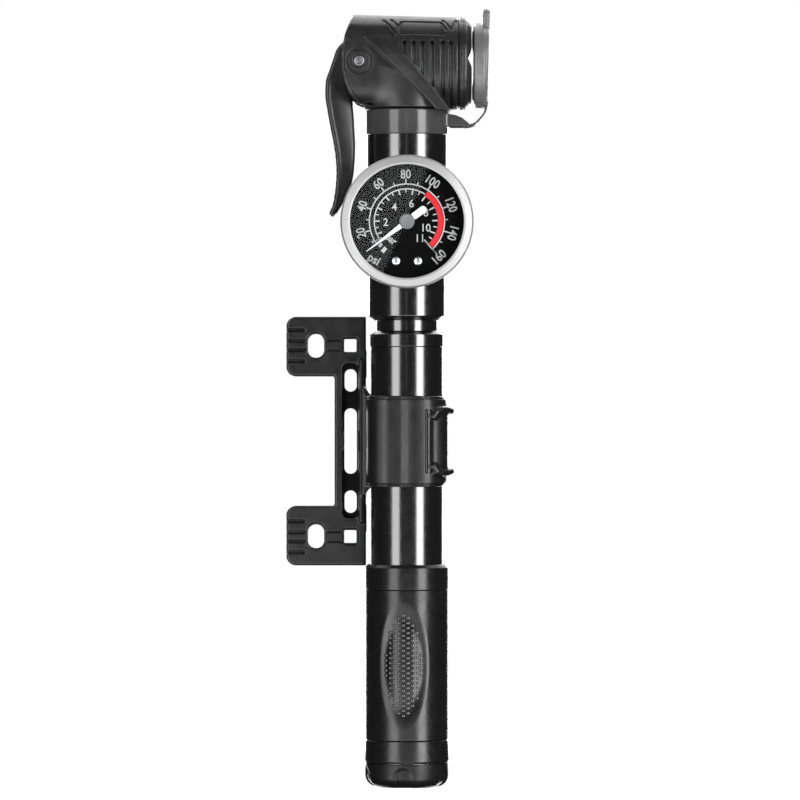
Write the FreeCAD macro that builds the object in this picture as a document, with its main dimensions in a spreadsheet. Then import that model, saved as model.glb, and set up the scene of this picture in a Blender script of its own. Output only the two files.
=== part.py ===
import FreeCAD, Part
import math
import os

import Sketcher
from FreeCAD import Placement, Rotation, Vector

# A mini pump for a bicycle: a barrel with a sliding handle, a dial gauge, a head with a thumb
# lever that locks it onto a tyre valve, and a bracket that bolts to a frame's bottle bosses.
# +Z runs up the pump's axis from the flat end of the handle. The valve nose points to +X, the
# bracket lies to -X and the dial faces -Y.

doc = FreeCAD.newDocument("mini_pump")
sheet = doc.addObject("Spreadsheet::Sheet", "Sizes")

SIZES = [
    # Bracket. Heights are measured from the middle of the two bolts.
    ("boss_spacing", 64.0),
    ("bolt_slot_width", 5.4),
    ("bolt_slot_height", 7.9),
    ("bolt_side", -30.5),
    ("bolt_middle_height", 116.5),
    ("bracket_left", -40.5),
    ("bracket_right", -13.7),
    ("web_left", -24.3),
    ("lobe_near", 21.7),
    ("lobe_far", 41.6),
    ("plate_front", 5.5),
    ("plate_back", 9.0),
    ("window_side", -18.9),
    ("window_width", 4.1),
    ("long_window_height", 21.9),
    ("short_window_height", 7.4),
    ("short_window_place", 20.4),
    ("square_window_place", 32.1),
    ("clip_height", 30.5),
    ("clip_wall", 1.3),
    ("clip_start_turn", -240.0),
    ("clip_end_turn", 7.0),
    ("lip_start_turn", -49.0),
    ("lip_end_turn", -14.0),
    ("lip_thickness", 0.8),
    ("root_front", 3.6),
    ("hook_reach", 15.7),
    ("hook_front", -6.2),
    ("hook_rear", -3.4),
    ("hook_place", 10.0),
    ("hook_height", 2.7),
    # Barrel, handle and piston.
    ("barrel_radius", 12.05),
    ("barrel_bore", 10.8),
    ("barrel_bottom", 13.0),
    ("barrel_top", 148.1),
    ("collar_radius", 12.3),
    ("collar_top", 153.8),
    ("collar_spigot", 8.0),
    ("neck_radius", 10.25),
    ("neck_bore", 7.5),
    ("bush_height", 8.0),
    ("bush_flange", 1.5),
    ("rod_radius", 3.0),
    ("rod_neck_radius", 2.0),
    ("handle_height", 74.7),
    ("handle_bore", 12.25),
    ("handle_tube_radius", 13.05),
    ("grip_radius", 13.95),
    ("grip_bottom", 16.1),
    ("grip_top", 66.3),
    ("handle_collar_radius", 14.05),
    ("end_ring_radius", 14.3),
    ("end_cap_height", 8.4),
    ("end_cap_rounding", 3.5),
    ("piston_radius", 10.72),
    ("piston_bottom", 131.0),
    ("piston_height", 8.0),
    # Upper tube and check valve.
    ("upper_bottom", 158.1),
    ("upper_top", 227.5),
    ("upper_bore", 11.55),
    ("upper_low_radius", 12.75),
    ("upper_high_radius", 13.4),
    ("ring_seat_radius", 12.6),
    ("ring_bottom", 219.6),
    ("ring_radius", 13.85),
    ("valve_hole", 1.6),
    ("valve_chamber", 3.6),
    # Head.
    ("nose_height", 243.0),
    ("nose_radius", 15.3),
    ("nose_back_radius", 15.9),
    ("nose_seam", 17.4),
    ("nose_front", 21.6),
    ("valve_radius", 4.1),
    ("thrust_bore", 7.45),
    ("gasket_back", 7.5),
    ("cheek_half_width", 12.5),
    ("lever_slot_half", 6.8),
    ("lever_half_width", 6.5),
    ("pin_side", -15.9),
    ("pin_height", 243.3),
    ("pin_radius", 1.85),
    ("cam_radius", 6.0),
    ("cam_lift", 2.5),
    # Dust cap and its strap.
    ("cap_inner", 22.4),
    ("cap_face", 25.5),
    ("cap_outer", 27.5),
    ("cap_radius", 13.05),
    ("cap_height", 242.2),
    ("cap_tip", 261.0),
    ("strap_width", 11.0),
    ("strap_thickness", 0.8),
    # Gauge. Depths are measured along Y from the pump's axis.
    ("gauge_height", 189.4),
    ("gauge_back", -14.0),
    ("case_radius", 21.0),
    ("case_bore", 19.5),
    ("case_front", -24.6),
    ("bezel_rear", -20.5),
    ("bezel_radius", 22.05),
    ("dial_opening", 18.8),
    ("lens_radius", 20.2),
    ("dial_front", -23.4),
    ("dial_thickness", 0.5),
    ("dial_screw_side", 3.65),
    ("dial_screw_drop", -13.1),
    ("dial_screw_radius", 1.5),
    ("gauge_front", -28.4),
    ("saddle_radius", 12.0),
    ("stem_radius", 3.0),
    ("gear_module", 0.3),
    ("pinion_teeth", 10),
    ("sector_full_teeth", 50),
    ("sector_cut_teeth", 11),
    ("tooth_width", 0.36),
    ("tooth_rise", 0.26),
    ("tooth_root", 0.46),
    ("pressure_angle", 20.0),
    ("bourdon_inner", 15.0),
    ("bourdon_outer", 17.0),
]


class Size:
    """A length that keeps both its value and the sheet expression that gives it."""

    def __init__(self, value, text=None):
        self.value = float(value)
        self.text = text or repr(float(value))

    def joined(self, other, sign, result):
        return Size(result, f"({self.text} {sign} {other.text})")

    def __add__(self, other):
        other = sized(other)
        return self.joined(other, "+", self.value + other.value)

    def __sub__(self, other):
        other = sized(other)
        return self.joined(other, "-", self.value - other.value)

    def __mul__(self, other):
        other = sized(other)
        return self.joined(other, "*", self.value * other.value)

    def __truediv__(self, other):
        other = sized(other)
        return self.joined(other, "/", self.value / other.value)

    def __radd__(self, other):
        return sized(other) + self

    def __rsub__(self, other):
        return sized(other) - self

    def __rmul__(self, other):
        return sized(other) * self

    def __rtruediv__(self, other):
        return sized(other) / self

    def __neg__(self):
        return sized(0) - self


def sized(amount):
    """Gives any number the form of a Size."""
    return amount if isinstance(amount, Size) else Size(amount)


class Sizes:
    """The sheet's cells by name."""


size = Sizes()
for row, (name, amount) in enumerate(SIZES, start=1):
    sheet.set(f"A{row}", name)
    sheet.set(f"B{row}", str(amount))
    sheet.setAlias(f"B{row}", name)
    setattr(size, name, Size(amount, f"Sizes.{name}"))
doc.recompute()

FRONT = "XZ_Plane"
SIDE = "YZ_Plane"
TOP = "XY_Plane"
pieces = []


# ---------------------------------------------------------------- sketch outlines


def vector(point):
    return Vector(sized(point[0]).value, sized(point[1]).value, 0)


def fix_point(drawing, geometry, end, point):
    """Ties one point of a sketch to its two coordinates."""
    for kind, amount, axis in (("DistanceX", point[0], -2), ("DistanceY", point[1], -1)):
        amount = sized(amount)
        if abs(amount.value) < 1e-9:
            drawing.addConstraint(Sketcher.Constraint("PointOnObject", geometry, end, axis))
            continue
        rule = Sketcher.Constraint(kind, -1, 1, geometry, end, amount.value)
        number = drawing.addConstraint(rule)
        drawing.setExpression(f"Constraints[{number}]", amount.text)


def fix_radius(drawing, geometry, radius):
    number = drawing.addConstraint(Sketcher.Constraint("Radius", geometry, radius.value))
    drawing.setExpression(f"Constraints[{number}]", radius.text)


def polygon(*corners):
    """A closed outline of straight lines through the corners."""

    def draw(drawing):
        first = drawing.GeometryCount
        count = len(corners)
        places = [vector(corner) for corner in corners]
        lines = [Part.LineSegment(a, b) for a, b in zip(places, places[1:] + places[:1])]
        drawing.addGeometry(lines, False)
        for index in range(count):
            after = first + (index + 1) % count
            drawing.addConstraint(Sketcher.Constraint("Coincident", first + index, 2, after, 1))
        for index, corner in enumerate(corners):
            fix_point(drawing, first + index, 1, corner)

    return draw


def rectangle(left, right, low, high):
    return polygon((left, low), (right, low), (right, high), (left, high))


def circle(centre, radius):
    """A full circle."""

    def draw(drawing):
        number = drawing.GeometryCount
        shape = Part.Circle(vector(centre), Vector(0, 0, 1), sized(radius).value)
        drawing.addGeometry(shape, False)
        fix_point(drawing, number, 3, centre)
        fix_radius(drawing, number, sized(radius))

    return draw


def upright_slot(centre, width, height):
    """A slot with round ends, taller than it is wide."""
    across, middle = sized(centre[0]), sized(centre[1])
    radius = sized(width) / 2
    reach = sized(height) / 2 - radius

    def draw(drawing):
        first = drawing.GeometryCount
        upper = (across, middle + reach)
        lower = (across, middle - reach)
        top = Part.ArcOfCircle(Part.Circle(vector(upper), Vector(0, 0, 1), radius.value), 0, math.pi)
        bottom = Part.ArcOfCircle(
            Part.Circle(vector(lower), Vector(0, 0, 1), radius.value), math.pi, 2 * math.pi
        )
        left = Part.LineSegment(top.EndPoint, bottom.StartPoint)
        right = Part.LineSegment(bottom.EndPoint, top.StartPoint)
        drawing.addGeometry([top, left, bottom, right], False)
        for index in range(4):
            after = first + (index + 1) % 4
            drawing.addConstraint(Sketcher.Constraint("Coincident", first + index, 2, after, 1))
        fix_point(drawing, first, 3, upper)
        fix_point(drawing, first + 2, 3, lower)
        fix_radius(drawing, first, radius)
        fix_radius(drawing, first + 2, radius)
        for arc in (first, first + 2):
            for end in (1, 2):
                drawing.addConstraint(Sketcher.Constraint("Horizontal", arc, 3, arc, end))

    return draw


def ring_sector(inner, outer, start, end):
    """A band around the sketch's origin between two directions in degrees."""
    inner, outer = sized(inner), sized(outer)
    turns = [math.radians(sized(start).value), math.radians(sized(end).value)]

    def draw(drawing):
        first = drawing.GeometryCount
        middle = Vector(0, 0, 0)
        up = Vector(0, 0, 1)
        outside = Part.ArcOfCircle(Part.Circle(middle, up, outer.value), *turns)
        inside = Part.ArcOfCircle(Part.Circle(middle, up, inner.value), *turns)
        starts = Part.LineSegment(outside.StartPoint, inside.StartPoint)
        ends = Part.LineSegment(outside.EndPoint, inside.EndPoint)
        drawing.addGeometry([outside, inside, starts, ends], False)
        joins = [(2, 1, 0, 1), (2, 2, 1, 1), (3, 1, 0, 2), (3, 2, 1, 2)]
        for line, line_end, arc, arc_end in joins:
            rule = Sketcher.Constraint("Coincident", first + line, line_end, first + arc, arc_end)
            drawing.addConstraint(rule)
        for arc, radius in ((0, outer), (1, inner)):
            rule = Sketcher.Constraint("Coincident", first + arc, 3, -1, 1)
            drawing.addConstraint(rule)
            fix_radius(drawing, first + arc, radius)

    return draw


# ---------------------------------------------------------------- features


def new_body(name, place=(0, 0, 0)):
    """A body of its own for one piece, standing at its place."""
    body = doc.addObject("PartDesign::Body", name)
    body.Label = name
    for axis, amount in zip("xyz", place):
        body.setExpression(f"Placement.Base.{axis}", sized(amount).text)
    pieces.append(body)
    return body


def origin_feature(body, role):
    return [feature for feature in body.Origin.OriginFeatures if feature.Role == role][0]


def add_sketch(body, name, plane, outlines, offset=0):
    drawing = body.newObject("Sketcher::SketchObject", name)
    drawing.AttachmentSupport = [(origin_feature(body, plane), "")]
    drawing.MapMode = "FlatFace"
    drawing.setExpression("AttachmentOffset.Base.z", sized(offset).text)
    for outline in outlines:
        outline(drawing)
    return drawing


def extrude(body, kind, name, plane, outlines, low, high):
    """Adds a Pad or a Pocket between two levels along the plane's axis, low before high."""
    low, high = sized(low), sized(high)
    start = -high if plane == FRONT else low
    feature_name = f"{body.Name}_{name}"
    drawing = add_sketch(body, f"{feature_name}_outline", plane, outlines, start)
    feature = body.newObject(f"PartDesign::{kind}", feature_name)
    feature.Profile = drawing
    feature.setExpression("Length", (high - low).text)
    if kind == "Pocket":
        feature.Reversed = True
    body.Tip = feature
    return feature


def pad(body, name, plane, outlines, low, high):
    return extrude(body, "Pad", name, plane, outlines, low, high)


def pocket(body, name, plane, outlines, low, high):
    return extrude(body, "Pocket", name, plane, outlines, low, high)


def turn(body, kind, name, axis, outline, angle=360.0):
    """Adds a Revolution or a Groove: the outline lists (place along the axis, radius) pairs."""
    if axis == "Z":
        corners = [(radius, along) for along, radius in outline]
    else:
        corners = list(outline)
    plane = SIDE if axis == "Y" else FRONT
    feature_name = f"{body.Name}_{name}"
    drawing = add_sketch(body, f"{feature_name}_outline", plane, [polygon(*corners)])
    feature = body.newObject(f"PartDesign::{kind}", feature_name)
    feature.Profile = drawing
    feature.ReferenceAxis = (drawing, ["V_Axis" if axis == "Z" else "H_Axis"])
    feature.Angle = angle
    body.Tip = feature
    return feature


def turned_piece(name, axis, outline, place=(0, 0, 0), angle=360.0):
    """A piece made in one turning operation."""
    body = new_body(name, place)
    turn(body, "Revolution", "turning", axis, outline, angle)
    return body


def ring_outline(inner, outer, low, high):
    """A plain ring's outline for turning."""
    return [(low, inner), (low, outer), (high, outer), (high, inner)]


def rubber_ring(name, axis, ring_radius, cord_radius, place):
    """An O-ring, as a torus around the axis."""
    ring = doc.addObject("Part::Torus", name)
    ring.Label = name
    turns = {"Z": Rotation(), "X": Rotation(Vector(0, 1, 0), 90)}
    ring.Placement = Placement(Vector(0, 0, 0), turns[axis])
    ring.setExpression("Radius1", sized(ring_radius).text)
    ring.setExpression("Radius2", sized(cord_radius).text)
    for direction, amount in zip("xyz", place):
        ring.setExpression(f"Placement.Base.{direction}", sized(amount).text)
    pieces.append(ring)
    return ring


def shaped_piece(name, shape, place=Vector(0, 0, 0)):
    """A piece whose curved shape is made directly with Part's functions."""
    feature = doc.addObject("Part::Feature", name)
    feature.Label = name
    feature.Shape = shape
    feature.Placement = Placement(place, Rotation())
    pieces.append(feature)
    return feature


# ---------------------------------------------------------------- bracket


def frame_bracket():
    body = new_body("frame_bracket", (0, 0, size.bolt_middle_height))
    near, far = size.lobe_near, size.lobe_far
    left, right, web = size.bracket_left, size.bracket_right, size.web_left
    plate = polygon(
        (left, -far),
        (right, -far),
        (right, far),
        (left, far),
        (left, near),
        (web, near),
        (web, -near),
        (left, -near),
    )
    holes = [upright_slot((size.window_side, 0), size.window_width, size.long_window_height)]
    half_window = size.window_width / 2
    for side in (-1, 1):
        bolt = (size.bolt_side, side * size.boss_spacing / 2)
        holes.append(upright_slot(bolt, size.bolt_slot_width, size.bolt_slot_height))
        short = (size.window_side, side * size.short_window_place)
        holes.append(upright_slot(short, size.window_width, size.short_window_height))
        middle = side * size.square_window_place
        left_edge = size.window_side - half_window
        right_edge = size.window_side + half_window
        holes.append(rectangle(left_edge, right_edge, middle - half_window, middle + half_window))
    pad(body, "plate", FRONT, [plate] + holes, size.plate_front, size.plate_back)

    half_clip = size.clip_height / 2
    inner = size.barrel_radius + 0.1
    outer = inner + size.clip_wall
    root_right = -inner + 0.2
    root = rectangle(right - 1, root_right, -half_clip, half_clip)
    pad(body, "root", FRONT, [root], size.root_front, size.plate_back)
    band = ring_sector(inner, outer, size.clip_start_turn, size.clip_end_turn)
    pad(body, "band", TOP, [band], -half_clip, half_clip)
    lip_outer = outer + size.lip_thickness
    lip = ring_sector(outer - 0.2, lip_outer, size.lip_start_turn, size.lip_end_turn)
    lip_half = size.hook_place + size.hook_height / 2
    pad(body, "lip", TOP, [lip], -lip_half, lip_half)
    for name, side in (("low_hook", -1), ("high_hook", 1)):
        hook = rectangle(outer - 0.9, size.hook_reach, size.hook_front, size.hook_rear)
        middle = side * size.hook_place
        half_hook = size.hook_height / 2
        pad(body, name, TOP, [hook], middle - half_hook, middle + half_hook)


# ---------------------------------------------------------------- barrel and check valve


def barrel_pieces():
    bore, radius = size.barrel_bore, size.barrel_radius
    bottom, top = size.barrel_bottom, size.barrel_top
    turned_piece("barrel_tube", "Z", ring_outline(bore, radius, bottom, top))

    rod_hole = size.rod_radius + 0.05
    bush = [
        (bottom - size.bush_flange, rod_hole),
        (bottom - size.bush_flange, radius),
        (bottom, radius),
        (bottom, bore),
        (bottom + size.bush_height, bore),
        (bottom + size.bush_height, rod_hole),
    ]
    turned_piece("guide_bush", "Z", bush)

    collar = [
        (top - size.collar_spigot, size.neck_bore),
        (top - size.collar_spigot, bore),
        (top, bore),
        (top, size.collar_radius),
        (size.collar_top - 1, size.collar_radius),
        (size.collar_top, size.neck_radius + 0.2),
        (size.collar_top, size.neck_bore),
    ]
    turned_piece("barrel_collar", "Z", collar)


def check_valve_pieces():
    low = size.barrel_top - 6
    seat = size.barrel_top
    shoulder = size.upper_bottom + 0.3
    spigot_top = shoulder + 12
    groove_low = shoulder + 4.9
    groove_high = shoulder + 6.5
    groove_floor = size.upper_bore - 1.5
    neck = [
        (low, size.valve_hole),
        (low, size.neck_bore),
        (size.collar_top, size.neck_bore),
        (size.collar_top, size.neck_radius),
        (size.upper_bottom, size.neck_radius),
        (size.upper_bottom, size.upper_bore),
        (groove_low, size.upper_bore),
        (groove_low, groove_floor),
        (groove_high, groove_floor),
        (groove_high, size.upper_bore),
        (spigot_top, size.upper_bore),
        (spigot_top, size.valve_chamber),
        (seat, size.valve_chamber),
        (seat, size.valve_hole),
    ]
    turned_piece("neck_connector", "Z", neck)

    cord = sized(0.7)
    ring_middle = (groove_low + groove_high) / 2
    rubber_ring("neck_oring", "Z", size.upper_bore - cord - 0.02, cord, (0, 0, ring_middle))

    poppet_low = seat + 0.05
    poppet = [
        (poppet_low, 0),
        (poppet_low, 3.0),
        (poppet_low + 1.4, 3.0),
        (poppet_low + 1.4, 1.0),
        (poppet_low + 7.0, 1.0),
        (poppet_low + 7.0, 0),
    ]
    turned_piece("check_poppet", "Z", poppet)

    retainer_low = seat + 10.5
    retainer = ring_outline(1.3, size.valve_chamber, retainer_low, retainer_low + 1.6)
    turned_piece("spring_retainer", "Z", retainer)

    half_wire = 0.25
    coil_radius = 2.1
    coils = 5
    spring_low = poppet_low.value + 1.4 + half_wire + 0.05
    spring_height = retainer_low.value - half_wire - 0.05 - spring_low
    path = Part.Wire(Part.makeHelix(spring_height / coils, spring_height, coil_radius))
    square = [(-1, -1), (1, -1), (1, 1), (-1, 1), (-1, -1)]
    corners = [Vector(coil_radius + a * half_wire, 0, b * half_wire) for a, b in square]
    wire = path.makePipeShell([Part.makePolygon(corners)], True, True)
    shaped_piece("check_spring", wire, Vector(0, 0, spring_low))


def upper_tube():
    body = new_body("upper_tube")
    bore = size.upper_bore
    step = size.gauge_height
    outline = [
        (size.upper_bottom, bore),
        (size.upper_bottom, size.upper_low_radius - 1),
        (size.upper_bottom + 1, size.upper_low_radius),
        (step, size.upper_low_radius),
        (step, size.upper_high_radius),
        (size.ring_bottom, size.upper_high_radius),
        (size.ring_bottom, size.ring_seat_radius),
        (size.upper_top, size.ring_seat_radius),
        (size.upper_top, bore),
    ]
    turn(body, "Revolution", "turning", "Z", outline)
    hole = circle((0, size.gauge_height), size.stem_radius)
    pocket(body, "stem_hole", FRONT, [hole], -size.upper_high_radius - 1, 0)


# ---------------------------------------------------------------- handle and piston


def piston_pieces():
    low = size.piston_bottom
    top = low + size.piston_height
    radius = size.piston_radius
    hole = size.rod_neck_radius + 0.05
    groove_low = low + 3
    groove_high = low + 5
    recess = top - 2
    head = [
        (low, hole),
        (low, radius),
        (groove_low, radius),
        (groove_low, radius - 1.7),
        (groove_high, radius - 1.7),
        (groove_high, radius),
        (top, radius),
        (top, 4.5),
        (recess, 4.5),
        (recess, hole),
    ]
    turned_piece("piston_head", "Z", head)
    cord = sized(0.85)
    ring_radius = size.barrel_bore - 0.04 - cord
    rubber_ring("piston_oring", "Z", ring_radius, cord, (0, 0, low + 4))

    shoulder = low - 0.1
    neck_top = recess + 0.1
    rod = [
        (2.5, 0),
        (2.5, size.rod_radius),
        (shoulder, size.rod_radius),
        (shoulder, size.rod_neck_radius),
        (neck_top, size.rod_neck_radius),
        (neck_top, 0),
    ]
    turned_piece("piston_rod", "Z", rod)
    screw = [(neck_top, 0), (neck_top, 4.0), (neck_top + 1.5, 4.0), (neck_top + 1.5, 0)]
    turned_piece("rod_screw", "Z", screw)


def handle_pieces():
    bore, tube, grip = size.handle_bore, size.handle_tube_radius, size.grip_radius
    cap_top = size.end_cap_height
    collar_low = size.grip_top
    top = size.handle_height
    tube_top = top - 1.7
    turned_piece("handle_tube", "Z", ring_outline(bore, tube, cap_top, tube_top))

    collar_radius = size.handle_collar_radius
    collar = [
        (collar_low, tube),
        (collar_low, collar_radius - 0.25),
        (collar_low + 0.3, collar_radius),
        (top - 1, collar_radius),
        (top, collar_radius - 1),
        (top, bore),
        (tube_top, bore),
        (tube_top, tube),
    ]
    turned_piece("handle_collar", "Z", collar)

    sleeve = [
        (size.grip_bottom, tube),
        (size.grip_bottom, grip - 0.25),
        (size.grip_bottom + 0.3, grip),
        (collar_low - 0.3, grip),
        (collar_low, grip - 0.25),
        (collar_low, tube),
    ]
    turned_piece("grip_sleeve", "Z", sleeve)

    ring = [
        (cap_top, tube),
        (cap_top, grip),
        (cap_top + 0.8, size.end_ring_radius),
        (size.grip_bottom - 0.3, grip),
        (size.grip_bottom, grip - 0.25),
        (size.grip_bottom, tube),
    ]
    turned_piece("grip_end_ring", "Z", ring)

    rounding = size.end_cap_rounding
    shoulder = rounding * 0.3
    cap = [
        (0, 0),
        (0, grip - rounding),
        (shoulder, grip - shoulder),
        (rounding, grip),
        (cap_top, grip),
        (cap_top, bore),
        (cap_top + 2.4, bore),
        (cap_top + 2.4, size.rod_radius),
        (2.5, size.rod_radius),
        (2.5, 0),
    ]
    turned_piece("end_cap", "Z", cap)


# ---------------------------------------------------------------- head


def thrust_back():
    """Where the cam meets the thrust piston's tail with the lever down."""
    return size.pin_side + size.cam_radius + 0.1


def head_body():
    """The moulded head. Its own origin is on the nose's axis, over the pump's axis."""
    height = size.nose_height
    body = new_body("head_body", (0, 0, height))
    core_left = thrust_back() + 0.35
    nose = [
        (core_left, 0),
        (core_left, size.nose_back_radius),
        (size.nose_seam, size.nose_radius),
        (size.nose_seam, 0),
    ]
    turn(body, "Revolution", "nose", "X", nose)

    base = size.upper_top + 0.3 - height
    cheek_top = sized(16.2)
    cheeks = polygon(
        (core_left + 1, base),
        (-13.4, base),
        (-16.8, base + 0.9),
        (-18.8, base + 2.4),
        (-19.9, base + 6.4),
        (-21.2, base + 9.4),
        (-22.1, base + 13.2),
        (-21.9, base + 16.8),
        (-20.8, base + 24.1),
        (-18.4, cheek_top),
        (core_left + 1, cheek_top),
    )
    cheek = size.cheek_half_width
    pad(body, "cheeks", FRONT, [cheeks], -cheek, cheek)
    socket = circle((0, 0), size.ring_radius)
    pad(body, "socket", TOP, [socket], base, 0)
    spigot = circle((0, 0), size.upper_bore)
    pad(body, "spigot", TOP, [spigot], base - 13.5, base)

    slot_right = thrust_back() + size.cam_lift + 0.35
    slot = polygon(
        (-26, base - 1),
        (-14.2, base - 1),
        (-14.2, base + 2.6),
        (slot_right, base + 2.6),
        (slot_right, cheek_top + 2),
        (-26, cheek_top + 2),
    )
    pocket(body, "lever_slot", FRONT, [slot], -size.lever_slot_half, size.lever_slot_half)
    bore = circle((0, 0), size.thrust_bore)
    pocket(body, "thrust_bore", SIDE, [bore], core_left - 1, size.nose_seam + 1)
    pocket(body, "air_way", TOP, [circle((0, 0), 2.0)], base - 14, -size.thrust_bore + 1)
    pin = circle((size.pin_side, size.pin_height - height), size.pin_radius)
    pocket(body, "pin_hole", FRONT, [pin], -cheek - 1, cheek + 1)
    groove_low = base - 8.6
    groove = ring_outline(size.upper_bore - 1.5, size.upper_bore + 1, groove_low, groove_low + 1.6)
    turn(body, "Groove", "ring_groove", "Z", groove)

    cord = sized(0.7)
    ring_height = height + groove_low + 0.8
    rubber_ring("head_oring", "Z", size.upper_bore - cord - 0.02, cord, (0, 0, ring_height))


def valve_end_pieces():
    """Nose nut, rubber gasket and the thrust piston that squeezes it."""
    place = (0, 0, size.nose_height)
    seam, front = size.nose_seam, size.nose_front
    nut = [
        (seam, size.valve_radius),
        (seam, size.nose_radius),
        (front - 2, size.nose_radius),
        (front, size.nose_radius - 2),
        (front, size.valve_radius),
    ]
    turned_piece("nose_nut", "X", nut, place)
    gasket = ring_outline(size.valve_radius, size.thrust_bore, size.gasket_back, seam)
    turned_piece("valve_gasket", "X", gasket, place)

    radius = size.thrust_bore - 0.05
    back = thrust_back()
    front_face = size.gasket_back - 0.1
    body = new_body("thrust_piston", place)
    profile = [
        (back, 0),
        (back, radius),
        (-6, radius),
        (-6, radius - 1.75),
        (-4.2, radius - 1.75),
        (-4.2, radius),
        (-2.5, radius),
        (-2.5, radius - 1.5),
        (4.0, radius - 1.5),
        (4.0, radius),
        (front_face, radius),
        (front_face, 0),
    ]
    turn(body, "Revolution", "turning", "X", profile)
    pocket(body, "port", TOP, [circle((0, 0), 1.2)], -radius, 0)
    pocket(body, "passage", SIDE, [circle((0, 0), 2.2)], 0, front_face + 1)

    cord = sized(0.85)
    rubber_ring("thrust_oring", "X", radius - cord + 0.01, cord, (-5.1, 0, size.nose_height))

    pin = new_body("valve_core_pin", place)
    pad(pin, "stem", SIDE, [circle((0, 0), 0.9)], 2.0, front_face - 0.2)
    spider = rectangle(-2.1, 2.1, -0.5, 0.5)
    pad(pin, "spider", SIDE, [spider], 2.0, 3.2)


def lever_pieces():
    pin_place = (size.pin_side, 0, size.pin_height)
    half = size.cheek_half_width
    pin = new_body("lever_pin", pin_place)
    pad(pin, "shaft", FRONT, [circle((0, 0), size.pin_radius)], -half, half)

    # The cam's radius grows evenly with the turn, so the piston's travel is in step with it.
    rise = size.cam_lift.value / (math.pi / 2)
    base = size.cam_radius.value
    cam = []
    steps = 12
    for step in range(steps + 1):
        turn_angle = math.pi / 2 * step / steps
        reach = base + rise * turn_angle
        across = reach * math.cos(turn_angle) - rise * math.sin(turn_angle)
        up = reach * math.sin(turn_angle) + rise * math.cos(turn_angle)
        cam.append(Vector(across, 0, up))
    flat_foot = Vector(base, 0, -3)

    # The thumb arm hangs beside the upper tube, seen from the pin.
    outer = [
        (-5.55, 6.6),
        (-8.55, 1.6),
        (-11.35, -9.1),
        (-9.95, -20.9),
        (-7.8, -36.3),
        (-8.95, -47.7),
        (-10.05, -50.3),
    ]
    inner = [(-7.85, -51.1), (-4.75, -45.0), (-2.05, -38.3), (-1.35, -28.3), (-2.5, -15.2), (-2.2, -7.1)]
    outer_points = [Vector(across, 0, up) for across, up in outer]
    inner_points = [Vector(across, 0, up) for across, up in inner]
    tip = Vector(-9.6, 0, -51.7)
    hub_back = Part.Arc(cam[-1], Vector(-3.8, 0, 7.9), outer_points[0]).toShape()
    back_curve = Part.BSplineCurve()
    back_curve.interpolate(outer_points)
    belly_curve = Part.BSplineCurve()
    belly_curve.interpolate(inner_points)
    edges = [Part.makeLine(a, b) for a, b in zip(cam, cam[1:])]
    edges.append(hub_back)
    edges.append(back_curve.toShape())
    edges.append(Part.makeLine(outer_points[-1], tip))
    edges.append(Part.makeLine(tip, inner_points[0]))
    edges.append(belly_curve.toShape())
    under = Part.Arc(inner_points[-1], Vector(2.2, 0, -6.4), flat_foot).toShape()
    edges.append(under)
    edges.append(Part.makeLine(flat_foot, cam[0]))
    face = Part.Face(Part.Wire(edges))
    half_width = size.lever_half_width.value
    lever = face.extrude(Vector(0, 2 * half_width, 0))
    lever.translate(Vector(0, -half_width, 0))
    hole_radius = size.pin_radius.value + 0.05
    hole = Part.makeCylinder(hole_radius, 4 * half_width, Vector(0, -2 * half_width, 0), Vector(0, 1, 0))
    pin_vector = Vector(*[sized(amount).value for amount in pin_place])
    shaped_piece("thumb_lever", lever.cut(hole), pin_vector)


def cap_pieces():
    """Grey rubber ring round the tube, its thin strap and the dust cap over the nose."""
    ring_low, ring_high = size.ring_bottom, size.upper_top
    ring = new_body("strap_ring")
    outline = ring_outline(size.ring_seat_radius, size.ring_radius, ring_low, ring_high)
    turn(ring, "Revolution", "turning", "Z", outline)
    gusset = polygon(
        (size.ring_radius - 0.8, ring_low + 2.0),
        (20.4, ring_low + 2.0),
        (20.4, ring_low + 2.8),
        (17.0, ring_low + 5.0),
        (size.ring_radius - 0.8, ring_low + 5.7),
    )
    half = size.strap_width / 2
    pad(ring, "gusset", FRONT, [gusset], -half, half)

    thickness = size.strap_thickness.value
    start = Vector(20.6, 0, ring_low.value + 2.4)
    middle = Vector(24.3, 0, ring_low.value + 4.5)
    finish = Vector(26.5, 0, size.cap_height.value - size.cap_radius.value - 0.85)
    path = Part.Wire([Part.Arc(start, middle, finish).toShape()])
    direction = path.Edges[0].tangentAt(path.Edges[0].FirstParameter)
    normal = direction.cross(Vector(0, 1, 0))
    corners = []
    for across, through in ((-1, -1), (1, -1), (1, 1), (-1, 1)):
        along_width = Vector(0, across * half.value, 0)
        corners.append(start + along_width + normal * (through * thickness / 2))
    section = Part.makePolygon(corners + corners[:1])
    strap = path.makePipeShell([section], True, False)
    shaped_piece("cap_strap", strap)

    height = size.cap_height
    cap = new_body("dust_cap", (0, 0, height))
    radius = size.cap_radius
    pad(cap, "disc", SIDE, [circle((0, 0), radius)], size.cap_inner, size.cap_face)
    plate = [rectangle(-half, half, -radius - 0.6, size.cap_tip - height)]
    pad(cap, "pull_tab", SIDE, plate, size.cap_face, size.cap_outer)
    face = [circle((0, 0), radius - 0.3)]
    pad(cap, "face", SIDE, face, size.cap_face, size.cap_outer - 0.4)
    for name, start_turn, end_turn in (("upper_lip", 35, 145), ("lower_lip", 215, 325)):
        lip = ring_sector(10.4, 11.6, start_turn, end_turn)
        pad(cap, name, SIDE, [lip], size.cap_inner - 0.6, size.cap_inner)


# ---------------------------------------------------------------- gauge


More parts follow.
